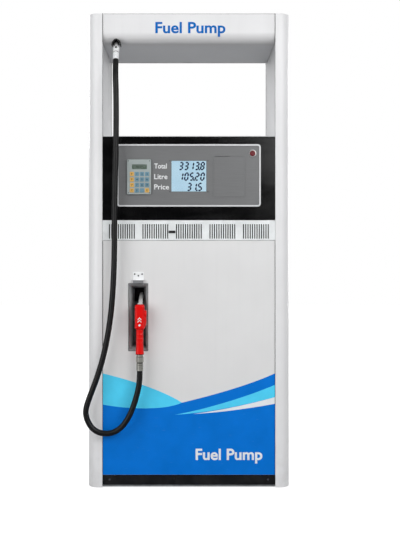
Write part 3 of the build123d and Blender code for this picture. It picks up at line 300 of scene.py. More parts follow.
def display_plate():
    """Grey lacquered plate with a fine horizontal grain, and a rim standing proud of it that is painted far
    lighter: bright metal, and a painted highlight along it.
    """
    look = Look("look_display_metal")
    lines = look.noise(4.0, 3.0, look.stretched((3.0, 300.0, 300.0)))
    drift = look.noise(5.0, 4.0)
    plate = look.mix(look.map(lines), srgb(112, 113, 114), srgb(122, 123, 124))
    plate = look.over(plate, srgb(96, 97, 99), look.map(drift, 0.4, 0.7), 0.12)
    rim_in, rim_out = 5.2 * MM, 5.0 * MM
    proud = look.map(look.along("Y"), PLATE_Y - 2.1 * MM, PLATE_Y - 2.3 * MM)
    across = look.map(look.math("ABSOLUTE", look.along("X")), PLATE_HIGH.x - rim_in, PLATE_HIGH.x - rim_out)
    upper = look.map(look.along("Z"), PLATE_HIGH.z - rim_in, PLATE_HIGH.z - rim_out)
    lower = look.map(look.along("Z"), PLATE_LOW.z + rim_in, PLATE_LOW.z + rim_out)
    rim = look.math("MAXIMUM", look.math("MAXIMUM", proud, across), look.math("MAXIMUM", upper, lower))
    # The rim's light colour is partly its bright metal and partly a painted highlight along the proud rim.
    rim_metal_and_highlight = look.mix(look.map(lines), srgb(214, 215, 217), srgb(232, 233, 235))
    look.set(Base_Color=look.mix(rim, plate, rim_metal_and_highlight), Metallic=look.map(rim, 0.0, 1.0, 0.15, 0.25))
    look.set(Roughness=look.map(lines, 0.2, 0.8, 0.34, 0.48), Normal=look.bump(lines, 0.12, 0.0001))
    return look.material


def boot_sheet():
    """Folded grey steel with dark rub marks, and painted shade that deepens towards the back, to black inside
    the spout's pocket.
    """
    look = Look("look_boot_steel")
    low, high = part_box("nozzle_boot")
    lines = look.noise(4.0, 3.0, look.stretched((160.0, 160.0, 5.0)))
    rub = look.map(look.noise(26.0, 6.0, distortion=1.0), 0.52, 0.70)
    front = look.mix(look.map(lines), srgb(202, 204, 205), srgb(218, 220, 221))
    depth = look.along("Y")
    # Painted shade: darker with depth, to near black deep inside; the rub marks ruffle its edge.
    depth_shade = look.map(look.math("ADD", depth, look.math("MULTIPLY", rub, 0.012)), low.y + 0.03, low.y + 0.105)
    tone = look.over(front, srgb(92, 92, 92), rub, 0.2)
    rim = look.map(depth, low.y + 2.6 * MM, low.y + 1.8 * MM)
    tone = look.mix(rim, look.mix(depth_shade, tone, srgb(12, 13, 14)), srgb(126, 128, 129))
    look.set(Base_Color=tone, Metallic=0.25)
    look.set(Roughness=look.map(lines, 0.2, 0.8, 0.32, 0.5), Normal=look.bump(lines, 0.15, 0.0001))
    return look.material


def hasp_paint():
    """White enamel, with painted shade in grey on the bent lip."""
    low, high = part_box("hasp_bracket")
    look = Look("look_hasp_paint")
    speck = look.noise(60.0, 5.0)
    # Painted shade: the bent lip is coloured grey.
    shaded_lip = look.map(look.along("Z"), low.z + 14.0 * MM, low.z + 13.4 * MM)
    white = look.mix(look.map(speck), srgb(240, 241, 242), srgb(248, 249, 250))
    look.set(Base_Color=look.mix(shaded_lip, white, srgb(128, 130, 132)), Coat_Weight=0.2, Coat_Roughness=0.2)
    look.set(Roughness=look.map(speck, to_low=0.3, to_high=0.42))
    look.set(Normal=look.bump(look.noise(420.0, 2.0), 0.1, 0.0004))
    return look.material


def window_glass():
    """Clear glass with faint wiping marks."""
    look = Look("look_clear_glass")
    smear = look.noise(22.0, 5.0, distortion=0.8)
    look.set(Base_Color=(0.93, 0.96, 0.97, 1.0), Transmission_Weight=1.0, IOR=1.45)
    look.set(Roughness=look.map(smear, 0.55, 0.8, 0.0, 0.08))
    return look.material


def backlight():
    """Backlit liquid crystal: pale blue, brighter in patches, with the faint grid of its cells."""
    look = Look("look_lcd_glow")
    drift = look.noise(7.0, 2.0)
    upright = look.add("Mapping", {"Vector": look.place, "Rotation": (math.pi / 2, 0.0, 0.0)}).outputs["Vector"]
    grid = look.add("TexBrick", {
        "Vector": upright, "Scale": 900.0, "Mortar Size": 0.02, "Color1": (1, 1, 1, 1), "Color2": (1, 1, 1, 1),
        "Mortar": (0.86, 0.88, 0.9, 1)}, offset=0.0)
    tone = look.mix(look.map(drift), srgb(172, 206, 226), srgb(190, 218, 233))
    cells = look.add("Mix", data_type="RGBA", blend_type="MULTIPLY")
    for index, value in ((0, 1.0), (6, tone), (7, grid.outputs["Color"])):
        look.put(cells.inputs[index], value)
    look.set(Base_Color=(0.12, 0.16, 0.19, 1.0), Roughness=0.5)
    look.set(Emission_Color=cells.outputs[2], Emission_Strength=0.93)
    return look.material


def ink(name, color):
    """Printed ink or cut vinyl, with a faint mottle and hairline scratches."""
    look = Look(name)
    mottle = look.noise(14.0, 4.0)
    scratch = look.map(look.noise(30.0, 8.0, look.stretched((1.0, 1.0, 14.0)), 0.4), 0.68, 0.72)
    tone = look.over(look.mottled(color, mottle, 0.94, 1.05), (0.7, 0.7, 0.7, 1.0), scratch, 0.05)
    look.set(Base_Color=tone, Roughness=look.map(mottle, to_low=0.34, to_high=0.48))
    look.set(Coat_Roughness=0.2, Specular_IOR_Level=0.12)
    look.set(Normal=look.bump(look.noise(300.0, 2.0), 0.05, 0.0003))
    return look.material


ENAMEL = {"color": WHITE, "coat": 0.05, "worn": WORN_WHITE, "shine": 0.25}
# The header's and the columns' paints carry painted shade, by the share functions above.
HEADER_PAINT = painted("look_header_paint", painted_shade=header_painted_shade, **ENAMEL)
COLUMN_PAINT = painted("look_column_paint", painted_shade=column_painted_shade, **ENAMEL)
NODE_LOOKS = {
    "header_front": HEADER_PAINT,
    "header_rear": HEADER_PAINT,
    "left_column": COLUMN_PAINT,
    "right_column": COLUMN_PAINT,
    # The roof's paint is a darker copy of the white enamel: painted shade, so that the roof under the top light
    # reads no brighter than the header.
    "header_roof": painted("look_roof_paint", (208, 208, 207), rough=0.6, coat=0.0,
                           worn=(170, 171, 173), shine=0.1),
    "hasp_bracket": hasp_paint(),
    "nozzle_swivel": metal("look_swivel_metal", (176, 175, 168), rough=0.30, metallic=0.8, tarnish=0.5),
    "nozzle_spout": metal("look_spout_metal", (240, 240, 238), rough=0.28, metallic=0.35, tarnish=0.1),
}
LOOKS = {
    "white_paint": painted("look_white_paint", **ENAMEL),
    "grey_paint": painted("look_grey_paint", (206, 207, 209), rough=0.5, coat=0.0, shine=0.15),
    "door_paint": painted("look_door_paint", (227, 227, 227), worn=(180, 181, 183), shine=0.25),
    "black_paint": painted("look_black_paint", (9, 9, 10), rough=0.30, dust=0.03,
                           worn=(60, 60, 62), shine=0.3),
    "zinc_steel": metal("look_zinc_steel", (178, 181, 183), rough=0.42, brush=(9.0, 9.0, 9.0), tarnish=0.4),
    "black_panel": black_gloss(),
    "strip_plastic": moulded("look_strip_plastic", (234, 237, 238), rough=0.38, grain=0.10),
    "black_plastic": moulded("look_black_plastic", (22, 22, 24), rough=0.40),
    "display_metal": display_plate(),
    "clear_glass": window_glass(),
    "lcd_glow": backlight(),
    "red_plastic": moulded("look_red_plastic", (108, 10, 24), rough=0.28, grain=0.08),
    "keypad_plastic": moulded("look_keypad_plastic", (158, 167, 166), rough=0.48),
    "key_orange": moulded("look_key_orange", (214, 168, 84), rough=0.42),
    "key_blue": moulded("look_key_blue", (104, 141, 158), rough=0.42),
    "boot_steel": boot_sheet(),
    "red_paint": painted("look_red_paint", (222, 4, 2), peel=0.2, coat=0.12, dust=0.0,
                         worn=(150, 6, 4), shine=0.2),
    "bright_metal": metal("look_bright_metal", (214, 214, 212), brush=(60.0, 60.0, 500.0), metallic=0.7),
    "chrome_metal": metal("look_chrome_metal", (246, 247, 248), rough=0.24, grain=0.05, tarnish=0.05,
                          metallic=0.25),
    "hose_rubber": rubber("look_hose_rubber", wrap=0.0045),
    "motor_paint": cast("look_motor_paint", (66, 104, 142), rough=0.5),
    "iron": cast("look_iron", (104, 108, 112), rough=0.62),
    "belt_rubber": rubber("look_belt_rubber"),
    "cast_alloy": cast("look_cast_alloy", (176, 178, 180), rough=0.5, metallic=0.7),
    "keypad_screen": moulded("look_keypad_screen", (92, 106, 96), rough=0.3, grain=0.05),
    "pipe_steel": metal("look_pipe_steel", (168, 171, 173), rough=0.4, brush=(20, 20, 20), tarnish=0.4),
    "blue": ink("vinyl_blue", (0, 116, 214)),
    "word_blue": ink("vinyl_word_blue", (4, 104, 188)),
    "light_blue": ink("vinyl_light_blue", (84, 214, 252)),
    "white": ink("vinyl_white", (234, 238, 241)),
    "navy": ink("lcd_segments", (18, 42, 88)),
    "label": ink("print_white", (232, 233, 234)),
    "legend": ink("print_legend", (30, 44, 54)),
    "dark": moulded("dark_trim", (16, 16, 17), rough=0.6),
    "seal": rubber("seal_rubber"),
    "gasket": moulded("grey_gasket", (96, 98, 100), rough=0.6),
    "trim": moulded("grey_trim", (150, 151, 152), rough=0.5),
    "readout": ink("keypad_readout", (34, 42, 38)),
    "screw": metal("screw_steel", (96, 97, 100), rough=0.35),
}
# the material slot of each look that has one
SLOTS = {look: look for look in ("zinc_steel", "bright_metal", "white_paint", "red_paint", "hose_rubber")}
SLOTS |= {"seal": "belt_rubber", "gasket": "belt_rubber", "trim": "belt_rubber", "dark": "black_plastic",
          "keypad_screen": "black_panel"}


# ---- mesh helpers ----
LEFT, RIGHT, FRONT, REAR, UP = (-1, 0, 0), (1, 0, 0), (0, -1, 0), (0, 1, 0), (0, 0, 1)


def link(name, data):
    """Puts a mesh, a light or a camera in the scene."""
    obj = bpy.data.objects.new(name, data)
    bpy.context.scene.collection.objects.link(obj)
    return obj


def middle(node):
    """Centre of a node's box."""
    return [(low + high) / 2 for low, high in zip(*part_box(node))]


def millimetres(points):
    return [tuple(value * MM for value in point) for point in points]


def circle(count, start=0.0):
    """Cosine and sine of equal steps round a circle."""
    turns = [start + 2 * math.pi * i / count for i in range(count)]
    return [(math.cos(turn), math.sin(turn)) for turn in turns]


def piece(name, mesh, look, body="cabinet", smooth=True):
    """Puts a mesh in the scene as a piece with one of the looks, which rides on a body."""
    if isinstance(mesh, bmesh.types.BMesh):
        data = bpy.data.meshes.new(name)
        bmesh.ops.recalc_face_normals(mesh, faces=mesh.faces)
        mesh.to_mesh(data)
        mesh.free()
        mesh = data
    mesh.name = name
    mesh.materials.clear()
    mesh.materials.append(LOOKS[look])
    mesh.shade_smooth() if smooth else mesh.shade_flat()
    obj = link(name, mesh)
    if smooth:
        mesh.set_sharp_from_angle(angle=math.radians(35))
    if body:
        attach(obj, body)
    return obj


def add_prism(bm, outline, y0, y1):
    """A plate from an outline of (x, z) points, between two values of y."""
    rings = [[bm.verts.new((x, y, z)) for x, z in outline] for y in (y0, y1)]
    bm.faces.new(rings[0])
    bm.faces.new(list(reversed(rings[1])))
    count = len(outline)
    for i in range(count):
        j = (i + 1) % count
        bm.faces.new((rings[0][j], rings[0][i], rings[1][i], rings[1][j]))


def rounded(centre, size, radius, steps=6):
    """Outline of a rectangle with round corners."""
    points = []
    for quarter, (sx, sz) in enumerate(((1, 1), (-1, 1), (-1, -1), (1, -1))):
        cx = centre[0] + sx * (size[0] / 2 - radius)
        cz = centre[1] + sz * (size[1] / 2 - radius)
        for step in range(steps + 1):
            angle = math.pi / 2 * (quarter + step / steps)
            points.append((cx + radius * math.cos(angle), cz + radius * math.sin(angle)))
    return points


def bezier(start, pull_a, pull_b, end, steps=24):
    """Points along a cubic curve, without its last point."""
    points = []
    for step in range(steps):
        t = step / steps
        weights = ((1 - t) ** 3, 3 * t * (1 - t) ** 2, 3 * t * t * (1 - t), t ** 3)
        parts = list(zip(weights, (start, pull_a, pull_b, end)))
        points.append(tuple(sum(w * p[i] for w, p in parts) for i in (0, 1)))
    return points


def frame_matrix(centre, axis):
    """Places something that is built along +Z at a centre, along an axis."""
    return Matrix.Translation(Vector(centre)) @ Vector(axis).to_track_quat("Z", "Y").to_matrix().to_4x4()


def add_lathe(bm, profile, centre, axis, sides=32):
    """A turned shape from (radius, distance along the axis) points."""
    place = frame_matrix(centre, axis)
    rings = []
    for radius, along in profile:
        if radius <= 0:
            rings.append([bm.verts.new(place @ Vector((0, 0, along)))])
            continue
        rings.append([bm.verts.new(place @ Vector((radius * c, radius * s, along))) for c, s in circle(sides)])
    for lower, upper in zip(rings, rings[1:]):
        for i in range(sides):
            j = (i + 1) % sides
            corners = [ring[k % len(ring)] for ring, k in ((lower, i), (lower, j), (upper, j), (upper, i))]
            unique = list(dict.fromkeys(corners))
            if len(unique) > 2:
                bm.faces.new(unique)


def add_screw(bm, centre, axis, radius, flat=False, drive=6, sides=24):
    """Button head, or an almost flush one, with a recess of that many sides."""
    height = 0.4 * MM if flat else radius * 0.55
    recess = radius * 0.42
    profile = [(radius, 0.0), (radius, height * 0.35), (radius * 0.86, height * 0.8), (radius * 0.6, height)]
    add_lathe(bm, profile, centre, axis, sides)
    place = frame_matrix(centre, axis)
    top = radius * 0.6
    edge = [bm.verts.new(place @ Vector((top * c, top * s, height))) for c, s in circle(sides)]
    rings = [[bm.verts.new(place @ Vector((recess * c, recess * s, z))) for c, s in circle(drive)]
             for z in (height, height * 0.35)]
    step = sides // drive
    for i in range(drive):
        j = (i + 1) % drive
        arc = [edge[(i * step + k) % sides] for k in range(step + 1)]
        bm.faces.new(arc + [rings[0][j], rings[0][i]])
        bm.faces.new((rings[0][i], rings[0][j], rings[1][j], rings[1][i]))
    bm.faces.new(rings[1])


def add_hex_bolt(bm, centre, axis, across, height):
    """Hexagon head on a washer."""
    washer = across * 0.72
    add_lathe(bm, [(0, 0), (washer, 0), (washer, height * 0.2), (0, height * 0.2)], centre, axis, 24)
    side = across / math.sqrt(3)
    seat = height * 0.2
    profile = [(0, seat), (side, seat), (side, height * 0.9), (side * 0.86, height), (0, height)]
    add_lathe(bm, profile, centre, axis, 6)


CAPITAL_SHARE = 0.70                      # height of a capital in a font's size


def text_mesh(name, body, height, bold=0.0, depth=0.0001, width=None):
    """Letters as a mesh in the XY plane, of a given height of capitals, centred."""
    curve = given(bpy.data.curves.new(name, "FONT"), body=body, size=height / CAPITAL_SHARE,
                  offset=bold * height, extrude=depth, resolution_u=6)
    obj = bpy.data.objects.new(name, curve)
    mesh = bpy.data.meshes.new_from_object(obj)
    bpy.data.objects.remove(obj)
    xs = [v.co.x for v in mesh.vertices]
    ys = [v.co.y for v in mesh.vertices]
    middle = Vector(((min(xs) + max(xs)) / 2, (min(ys) + max(ys)) / 2, 0))
    stretch = width / (max(xs) - min(xs)) if width else 1.0
    for vertex in mesh.vertices:
        vertex.co -= middle
        vertex.co.x *= stretch
    return mesh


def lettering(name, body, centre, height, look, carrier="cabinet", rear=False, **shape):
    """Letters that face the front, or the rear."""
    mesh = text_mesh(name, body, height, **shape)
    turn = Matrix.Rotation(math.pi / 2, 4, "X")
    if rear:
        turn = Matrix.Rotation(math.pi, 4, "Z") @ turn
    mesh.transform(Matrix.Translation(Vector(centre)) @ turn)
    piece(name, mesh, look, carrier, smooth=False)


def turned(name, look, profile, centre, axis, sides, body="cabinet"):
    """A piece turned from a profile in mm."""
    bm = bmesh.new()
    add_lathe(bm, millimetres(profile), centre, axis, sides)
    piece(name, bm, look, body)


def screws(name, places, axis, radius, flat=False):
    bm = bmesh.new()
    for place in places:
        add_screw(bm, place, axis, radius, flat)
    piece(name, bm, "screw")


def bolts(name, places, axis, across, height):
    bm = bmesh.new()
    for place in places:
        add_hex_bolt(bm, place, axis, across, height)
    piece(name, bm, "zinc_steel")


def add_ring_plate(bm, outer, inner, y):
    """A flat ring between two outlines with as many points each."""
    count = len(outer)
    rings = [[bm.verts.new((px, py, pz)) for px, pz in line] for line in (outer, inner) for py in y]
    outer_front, outer_back, inner_front, inner_back = rings
    for i in range(count):
        j = (i + 1) % count
        for a, b in ((outer_front, inner_front), (inner_back, outer_back), (outer_back, outer_front),
                     (inner_front, inner_back)):
            bm.faces.new((a[i], a[j], b[j], b[i]))


# ---- finish of the CAD pieces ----
WELD_WITHIN = 0.01 * MM
ROUNDED_EDGES = {                         # radius in mm
    "left_column": 1.2, "right_column": 1.2, "header_front": 0.8, "header_rear": 0.8, "header_roof": 1.0,
    "header_soffit": 0.6, "head_sill": 0.8, "head_shelf": 0.8, "head_front_panel": 0.8, "front_door": 0.8,
    "kickplates": 0.6, "nozzle_boot": 0.4, "hasp_bracket": 0.5, "front_latch": 0.5,
    "rear_latch": 0.5, "blank_cover": 0.35, "lcd_window": 0.3, "outlet_hood": 0.5,
}


def finish_node(name, node):
    """Gives a carried-over node its material, round edges and clean normals."""
    slot = next(s["material_slot"] for s in frame["record"]["subparts"] if s["node"] == name)
    node.data.materials.clear()
    node.data.materials.append(NODE_LOOKS.get(name, LOOKS[slot]))
    if "custom_normal" in node.data.attributes:
        node.data.attributes.remove(node.data.attributes["custom_normal"])
    node.data.shade_smooth()
    given(node.modifiers.new("weld", "WELD"), merge_threshold=WELD_WITHIN)
    if name in ROUNDED_EDGES:
        given(node.modifiers.new("bevel", "BEVEL"), width=ROUNDED_EDGES[name] * MM, segments=2,
              limit_method="ANGLE", angle_limit=math.radians(40), use_clamp_overlap=False, harden_normals=True)
    else:
        given(node.modifiers.new("edges", "EDGE_SPLIT"), split_angle=math.radians(32))


for node_name, node_object in frame["nodes"].items():
    finish_node(node_name, node_object)


# ---- hose ----
HOSE_D = 0.026
HOSE_ROUTE = [
    (-.3295, -.2620, 1.933), (-.3295, -.2883, 1.879), (-.3250, -.2900, 1.764),
    (-.3255, -.2880, 1.560), (-.3330, -.2860, 1.290), (-.3335, -.2850, 1.010),
    (-.3470, -.2860, 0.790), (-.3770, -.2880, 0.616), (-.4140, -.2900, 0.494),
    (-.4440, -.2910, 0.419), (-.4630, -.2910, 0.361), (-.4570, -.2910, 0.318),
    (-.4340, -.2910, 0.278), (-.3980, -.2900, 0.256), (-.3500, -.2900, 0.254),
    (-.3060, -.2890, 0.276), (-.2720, -.2880, 0.320), (-.2480, -.2870, 0.376),
    (-.2310, -.2860, 0.433), (-.2200, -.2850, 0.487), (-.2200, -.2850, 0.536),
]


def route_samples(route, steps):
    """Points along the smooth curve that a route's points control."""
    curve = given(bpy.data.curves.new("hose_line", "CURVE"), dimensions="3D", resolution_u=steps)
    spline = curve.splines.new("NURBS")
    spline.points.add(len(route) - 1)
    for point, place in zip(spline.points, route):
        point.co = (*place, 1.0)
    spline.order_u = 3
    spline.use_endpoint_u = True
    obj = bpy.data.objects.new("hose_line", curve)
    mesh = bpy.data.meshes.new_from_object(obj)
    points = [vertex.co.copy() for vertex in mesh.vertices]
    bpy.data.objects.remove(obj)
    return points


def tube_mesh(points, radius, sides=24):
    """A tube round a line of points, with texture coordinates along and round it."""
    bm = bmesh.new()
    layer = bm.loops.layers.uv.new("UVMap")
    side = Vector((1, 0, 0))
    rings, run = [], [0.0]
    for i, point in enumerate(points):
        along = (points[min(i + 1, len(points) - 1)] - points[max(i - 1, 0)]).normalized()
        side = (side - along * side.dot(along)).normalized()
        other = along.cross(side)
        rings.append([bm.verts.new(point + (side * c + other * s) * radius) for c, s in circle(sides)])
        if i:
            run.append(run[-1] + (point - points[i - 1]).length)
    for i in range(len(points) - 1):
        for k in range(sides):
            j = (k + 1) % sides
            face = bm.faces.new((rings[i][k], rings[i][j], rings[i + 1][j], rings[i + 1][k]))
            places = ((run[i], k), (run[i], k + 1), (run[i + 1], k + 1), (run[i + 1], k))
            for loop, (u, v) in zip(face.loops, places):
                loop[layer].uv = (u, v / sides)
    bm.faces.new(list(reversed(rings[0])))
    bm.faces.new(rings[-1])
    return bm


def make_hose():
    line = route_samples(HOSE_ROUTE, 12)
    hose = piece("filling_hose", tube_mesh(line, HOSE_D / 2), "hose_rubber", None)
    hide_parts("hose")
    carried = [frame["nodes"][n] for n in ("nozzle_swivel", "nozzle_spout", "nozzle_lever")]
    carried += [bpy.data.objects[n] for n in ("grip_ring", "swivel_seals")]
    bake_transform(hose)


# ---- nozzle ----
BULGE_RISE = 43 * MM                      # of the valve's bulge, over the middle of the body
BULGES = ((0.0125, 0.0, (0.0180, 0.0215, 0.046)), (0.0035, 0.012, (0.0225, 0.0245, 0.050)))
RIDGES, RIDGE_START, RIDGE_PITCH = 4, 0.050, 0.019
RIDGE_SIZE = (0.0155, 0.0078, 0.0062)
SKIN_VOXEL = 1.1 * MM


def add_ball(bm, place, size, segments, rings):
    """An ellipsoid of given half sizes."""
    matrix = Matrix.Translation(place) @ Matrix.Diagonal((*size, 1.0))
    bmesh.ops.create_uvsphere(bm, u_segments=segments, v_segments=rings, radius=1.0, matrix=matrix)


def nozzle_skin():
    """Vinyl-dipped body: the casting with softened corners, a full valve bulge and finger ridges."""
    low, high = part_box("nozzle_body")
    swivel = frame["nodes"]["nozzle_swivel"].data.vertices
    centre_x, centre_y = (sum(v.co[i] for v in swivel) / len(swivel) for i in (0, 1))
    bm = bmesh.new()
    bulge_z = (high.z + low.z) / 2 + BULGE_RISE
    for dx, rise, size in BULGES:
        add_ball(bm, (centre_x + dx, centre_y - 1 * MM, bulge_z + rise), size, 32, 20)
    for ridge in range(RIDGES):
        z = low.z + RIDGE_START + ridge * RIDGE_PITCH
        add_ball(bm, (centre_x, centre_y - 9.5 * MM, z), RIDGE_SIZE, 24, 12)
    bm.from_mesh(frame["nodes"]["nozzle_body"].data)
    skin = piece("nozzle_skin", bm, "red_paint", None)
    given(skin.modifiers.new("skin", "REMESH"), mode="VOXEL", voxel_size=SKIN_VOXEL)
    given(skin.modifiers.new("soft", "SMOOTH"), factor=0.5, iterations=7)
    bpy.context.view_layer.update()
    final = bpy.data.meshes.new_from_object(skin.evaluated_get(bpy.context.evaluated_depsgraph_get()))
    skin.modifiers.clear()
    skin.data = final
    final.shade_smooth()
    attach(skin, "nozzle")
    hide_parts("nozzle_body")
    return centre_x, centre_y


GRIP_RING = ((12.5, 0.0), (17.8, 0.6), (19.0, 2.4), (19.0, 3.6), (17.8, 5.2), (12.5, 5.8))
VALVE_CAP = ((0.0, -4.0), (10.5, -4.0), (10.5, -0.6), (9.8, 0.0), (7.0, 0.2), (6.4, -0.8), (0.0, -0.8))
CHEVRON = ((0.0, 8.0), (8.5, -1.0), (8.5, -5.0), (0.0, 3.5), (-8.5, -5.0), (-8.5, -1.0))
CHEVRON_RISES = (36 * MM, 47 * MM)
DOT_RISE, DOT_SIZE = 20 * MM, 10 * MM


def nozzle_details(centre_x, centre_y):
    """Rubber ring under the grip, the screwed cap of the valve, and white marks on the body: generic print, and
    painted highlights where its glints are.
    """
    low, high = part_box("nozzle_body")
    turned("grip_ring", "seal", GRIP_RING, (centre_x, centre_y, low.z - 3 * MM), UP, 40, "nozzle")
    cap = (high.x - 0.6 * MM, centre_y - 2 * MM, high.z - 42 * MM)
    turned("valve_cap", "bright_metal", VALVE_CAP, cap, RIGHT, 36, "nozzle")
    bm = bmesh.new()
    face = (low.y - 0.6 * MM, low.y + 2.2 * MM)
    centre_z = (low.z + high.z) / 2
    # White marks: generic print in place of the body's markings, and painted highlights standing for its
    # glints.
    for rise in CHEVRON_RISES:
        add_prism(bm, [(centre_x + dx, centre_z + rise + dz) for dx, dz in millimetres(CHEVRON)], *face)
    add_prism(bm, rounded((centre_x, centre_z + DOT_RISE), (DOT_SIZE, DOT_SIZE), DOT_SIZE * 0.49, 5), *face)
    piece("nozzle_flow_marks", bm, "white", "nozzle", smooth=False)


# rise over the swivel's end, radius and width of each ring, in mm
SWIVEL_RINGS = ((8.2, 14.9, 2.0), (16.2, 14.9, 2.0), (24.2, 14.9, 2.0), (32.4, 13.4, 5.2), (60.4, 15.4, 2.6))


def swivel_details(centre_x, centre_y):
    """Dark seals and grease lines of the swivel between the hose and the grip."""
    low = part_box("nozzle_swivel")[0]
    bm = bmesh.new()
    for rise, radius, wide in SWIVEL_RINGS:
        ring = millimetres([(radius - 3, 0.0), (radius, 0.3), (radius, wide - 0.3), (radius - 3, wide)])
        add_lathe(bm, ring, (centre_x, centre_y, low.z + rise * MM), UP, 36)
    piece("swivel_seals", bm, "seal", "nozzle")


nozzle_axis = nozzle_skin()
nozzle_details(*nozzle_axis)
swivel_details(*nozzle_axis)
make_hose()


# ---- livery ----
# places on the door, across and up, in mm
SIDE = 391
CREST, LIGHT_TIP, WHITE_TIP = (-31, 384), (-64, 329), (20, 332.5)


def livery(face_y, outward, body, prefix):
    """Waves of cut vinyl on a door; outward is -1 at the front and 1 at the rear, where it is mirrored."""
    edge = COLUMN_INNER - 1.6 * MM
    bottom = (DOOR_LOW.z + 0.6 * MM) / MM
    crest_left = bezier((-SIDE, 375), (-250, 350), (-100, 352), CREST)
    crest_right = bezier(CREST, (110, 418), (270, 462), (SIDE, 517))
    swoosh_top = bezier((-SIDE, 517), (-270, 487), (-130, 445), CREST)
    light_top = bezier(LIGHT_TIP, (60, 350), (250, 405), (SIDE, 465))
    light_low = bezier((SIDE, 409), (270, 378), (110, 340), LIGHT_TIP)
    white_top = bezier(WHITE_TIP, (150, 350), (270, 376), (SIDE, 409))
    white_low = bezier((SIDE, 379), (290, 360), (150, 340), WHITE_TIP)
    layers = [
        ("blue", crest_left + crest_right + [(SIDE, 517), (SIDE, bottom), (-SIDE, bottom)]),
        ("light_blue", swoosh_top + [CREST] + list(reversed(crest_left))),
        ("light_blue", light_top + [(SIDE, 465)] + light_low),
        ("white", white_top + [(SIDE, 409)] + white_low),
    ]
    for number, (color, outline) in enumerate(layers):
        bm = bmesh.new()
        fitted = [(max(-edge, min(edge, x)) * -outward, z) for x, z in millimetres(outline)]
        lift = VINYL * (1 if number < 3 else 2) + (VINYL if number == 2 else 0)
        add_prism(bm, fitted, face_y + outward * 0.02 * MM, face_y + outward * lift)
        piece(f"{prefix}_wave_{number + 1}", bm, color, body, smooth=False)


livery(DOOR_Y, -1, "cabinet", "front")
livery(-DOOR_Y, 1, "rear_door_body", "rear")

WORDS = "Fuel Pump"
WORD_HIGH, WORD_BOLD = 49 * MM, 0.035
HEADER_WORD_X, HEADER_WORD_Z, HEADER_WORD_WIDE = 0.007, 2.0775, 0.318
DOOR_WORD_X, DOOR_WORD_Z, DOOR_WORD_WIDE = 0.182, 0.1415, 0.303


def words(side, out, carrier):
    """The words on the header and on the door of one side; out is -1 at the front and 1 at the rear."""
    face = out * -DOOR_Y + out * VINYL
    lettering(f"{side}_header_word", WORDS, (HEADER_WORD_X * -out, face, HEADER_WORD_Z), WORD_HIGH,
              "word_blue", rear=out > 0, bold=WORD_BOLD, width=HEADER_WORD_WIDE)
    lettering(f"{side}_door_word", WORDS, (DOOR_WORD_X * -out, face + out * 2 * VINYL, DOOR_WORD_Z), WORD_HIGH,
              "white", carrier, rear=out > 0, bold=WORD_BOLD, width=DOOR_WORD_WIDE)


words("front", -1, "cabinet")
words("rear", 1, "rear_door_body")


# ---- display ----
DIGIT_HIGH, DIGIT_WIDE, DIGIT_PITCH = 31.5 * MM, 13.5 * MM, 24.3 * MM
STROKE, STROKE_GAP = 6.8 * MM, 0.5 * MM
SLANT = math.tan(math.radians(8))
SEGMENTS = {"0": "abcdef", "1": "bc", "2": "abged", "3": "abgcd", "4": "fgbc", "5": "afgcd", "6": "afgedc",
            "7": "abc", "8": "abcdefg", "9": "abfgcd"}


def segment_outline(letter):
    """Outline of one bar of a seven-bar digit, from the digit's lower left corner."""
    wide, high, half = DIGIT_WIDE, DIGIT_HIGH, STROKE / 2
    lines = {"a": ((0, high), (wide, high)), "g": ((0, high / 2), (wide, high / 2)), "d": ((0, 0), (wide, 0)),
             "f": ((0, high / 2), (0, high)), "b": ((wide, high / 2), (wide, high)),
             "e": ((0, 0), (0, high / 2)), "c": ((wide, 0), (wide, high / 2))}
    start, end = [Vector(p) for p in lines[letter]]
    along = (end - start).normalized()
    across = Vector((-along.y, along.x)) * half
    start, end = start + along * STROKE_GAP, end - along * STROKE_GAP
    return [start, start + along * half + across, end - along * half + across, end,
            end - along * half - across, start + along * half - across]


def digits(name, value, right, bottom):
    """A row of digits whose right end and baseline are given; a point takes no place of its own."""
    bm = bmesh.new()
    y = (LCD_LOW.y - 0.12 * MM, LCD_LOW.y - 0.02 * MM)
    x = right - DIGIT_WIDE
    for mark in reversed(value):
        if mark == ".":
            x0 = x + DIGIT_PITCH - (DIGIT_PITCH - DIGIT_WIDE) / 2
            add_prism(bm, rounded((x0, bottom), (STROKE, STROKE), STROKE * 0.3, 3), *y)
            continue
        for letter in SEGMENTS[mark]:
            outline = [(x + p.x + SLANT * p.y, bottom + p.y) for p in segment_outline(letter)]
            add_prism(bm, outline, *y)
        x -= DIGIT_PITCH
    piece(name, bm, "navy", smooth=False)


# what each row is called, its digits, their baseline and right end, its word and the word's width
ROWS = (("total", "3313.8", 1.4415, 0.0665, "Total", 0.057),
        ("volume", "105.20", 1.3935, 0.0665, "Litre", 0.060),
        ("price", "31.5", 1.3468, 0.0550, "Price", 0.067))
LABEL_LEFT, LABEL_RISE, LABEL_HIGH = -157 * MM, 15.5 * MM, 22.5 * MM
DISPLAY_SCREWS = [(x, z) for x in (-86, 86) for z in (1341, 1481)]
for label, value, bottom, right, word, long in ROWS:
    digits(f"lcd_{label}", value, right, bottom)
    centre = (LABEL_LEFT + long / 2, PLATE_Y - 0.08 * MM, bottom + LABEL_RISE)
    lettering(f"label_{label}", word, centre, LABEL_HIGH, "label", bold=0.02, width=long)

screws("display_screws", [(x, PLATE_Y, z) for x, z in millimetres(DISPLAY_SCREWS)], FRONT, 2.8 * MM)


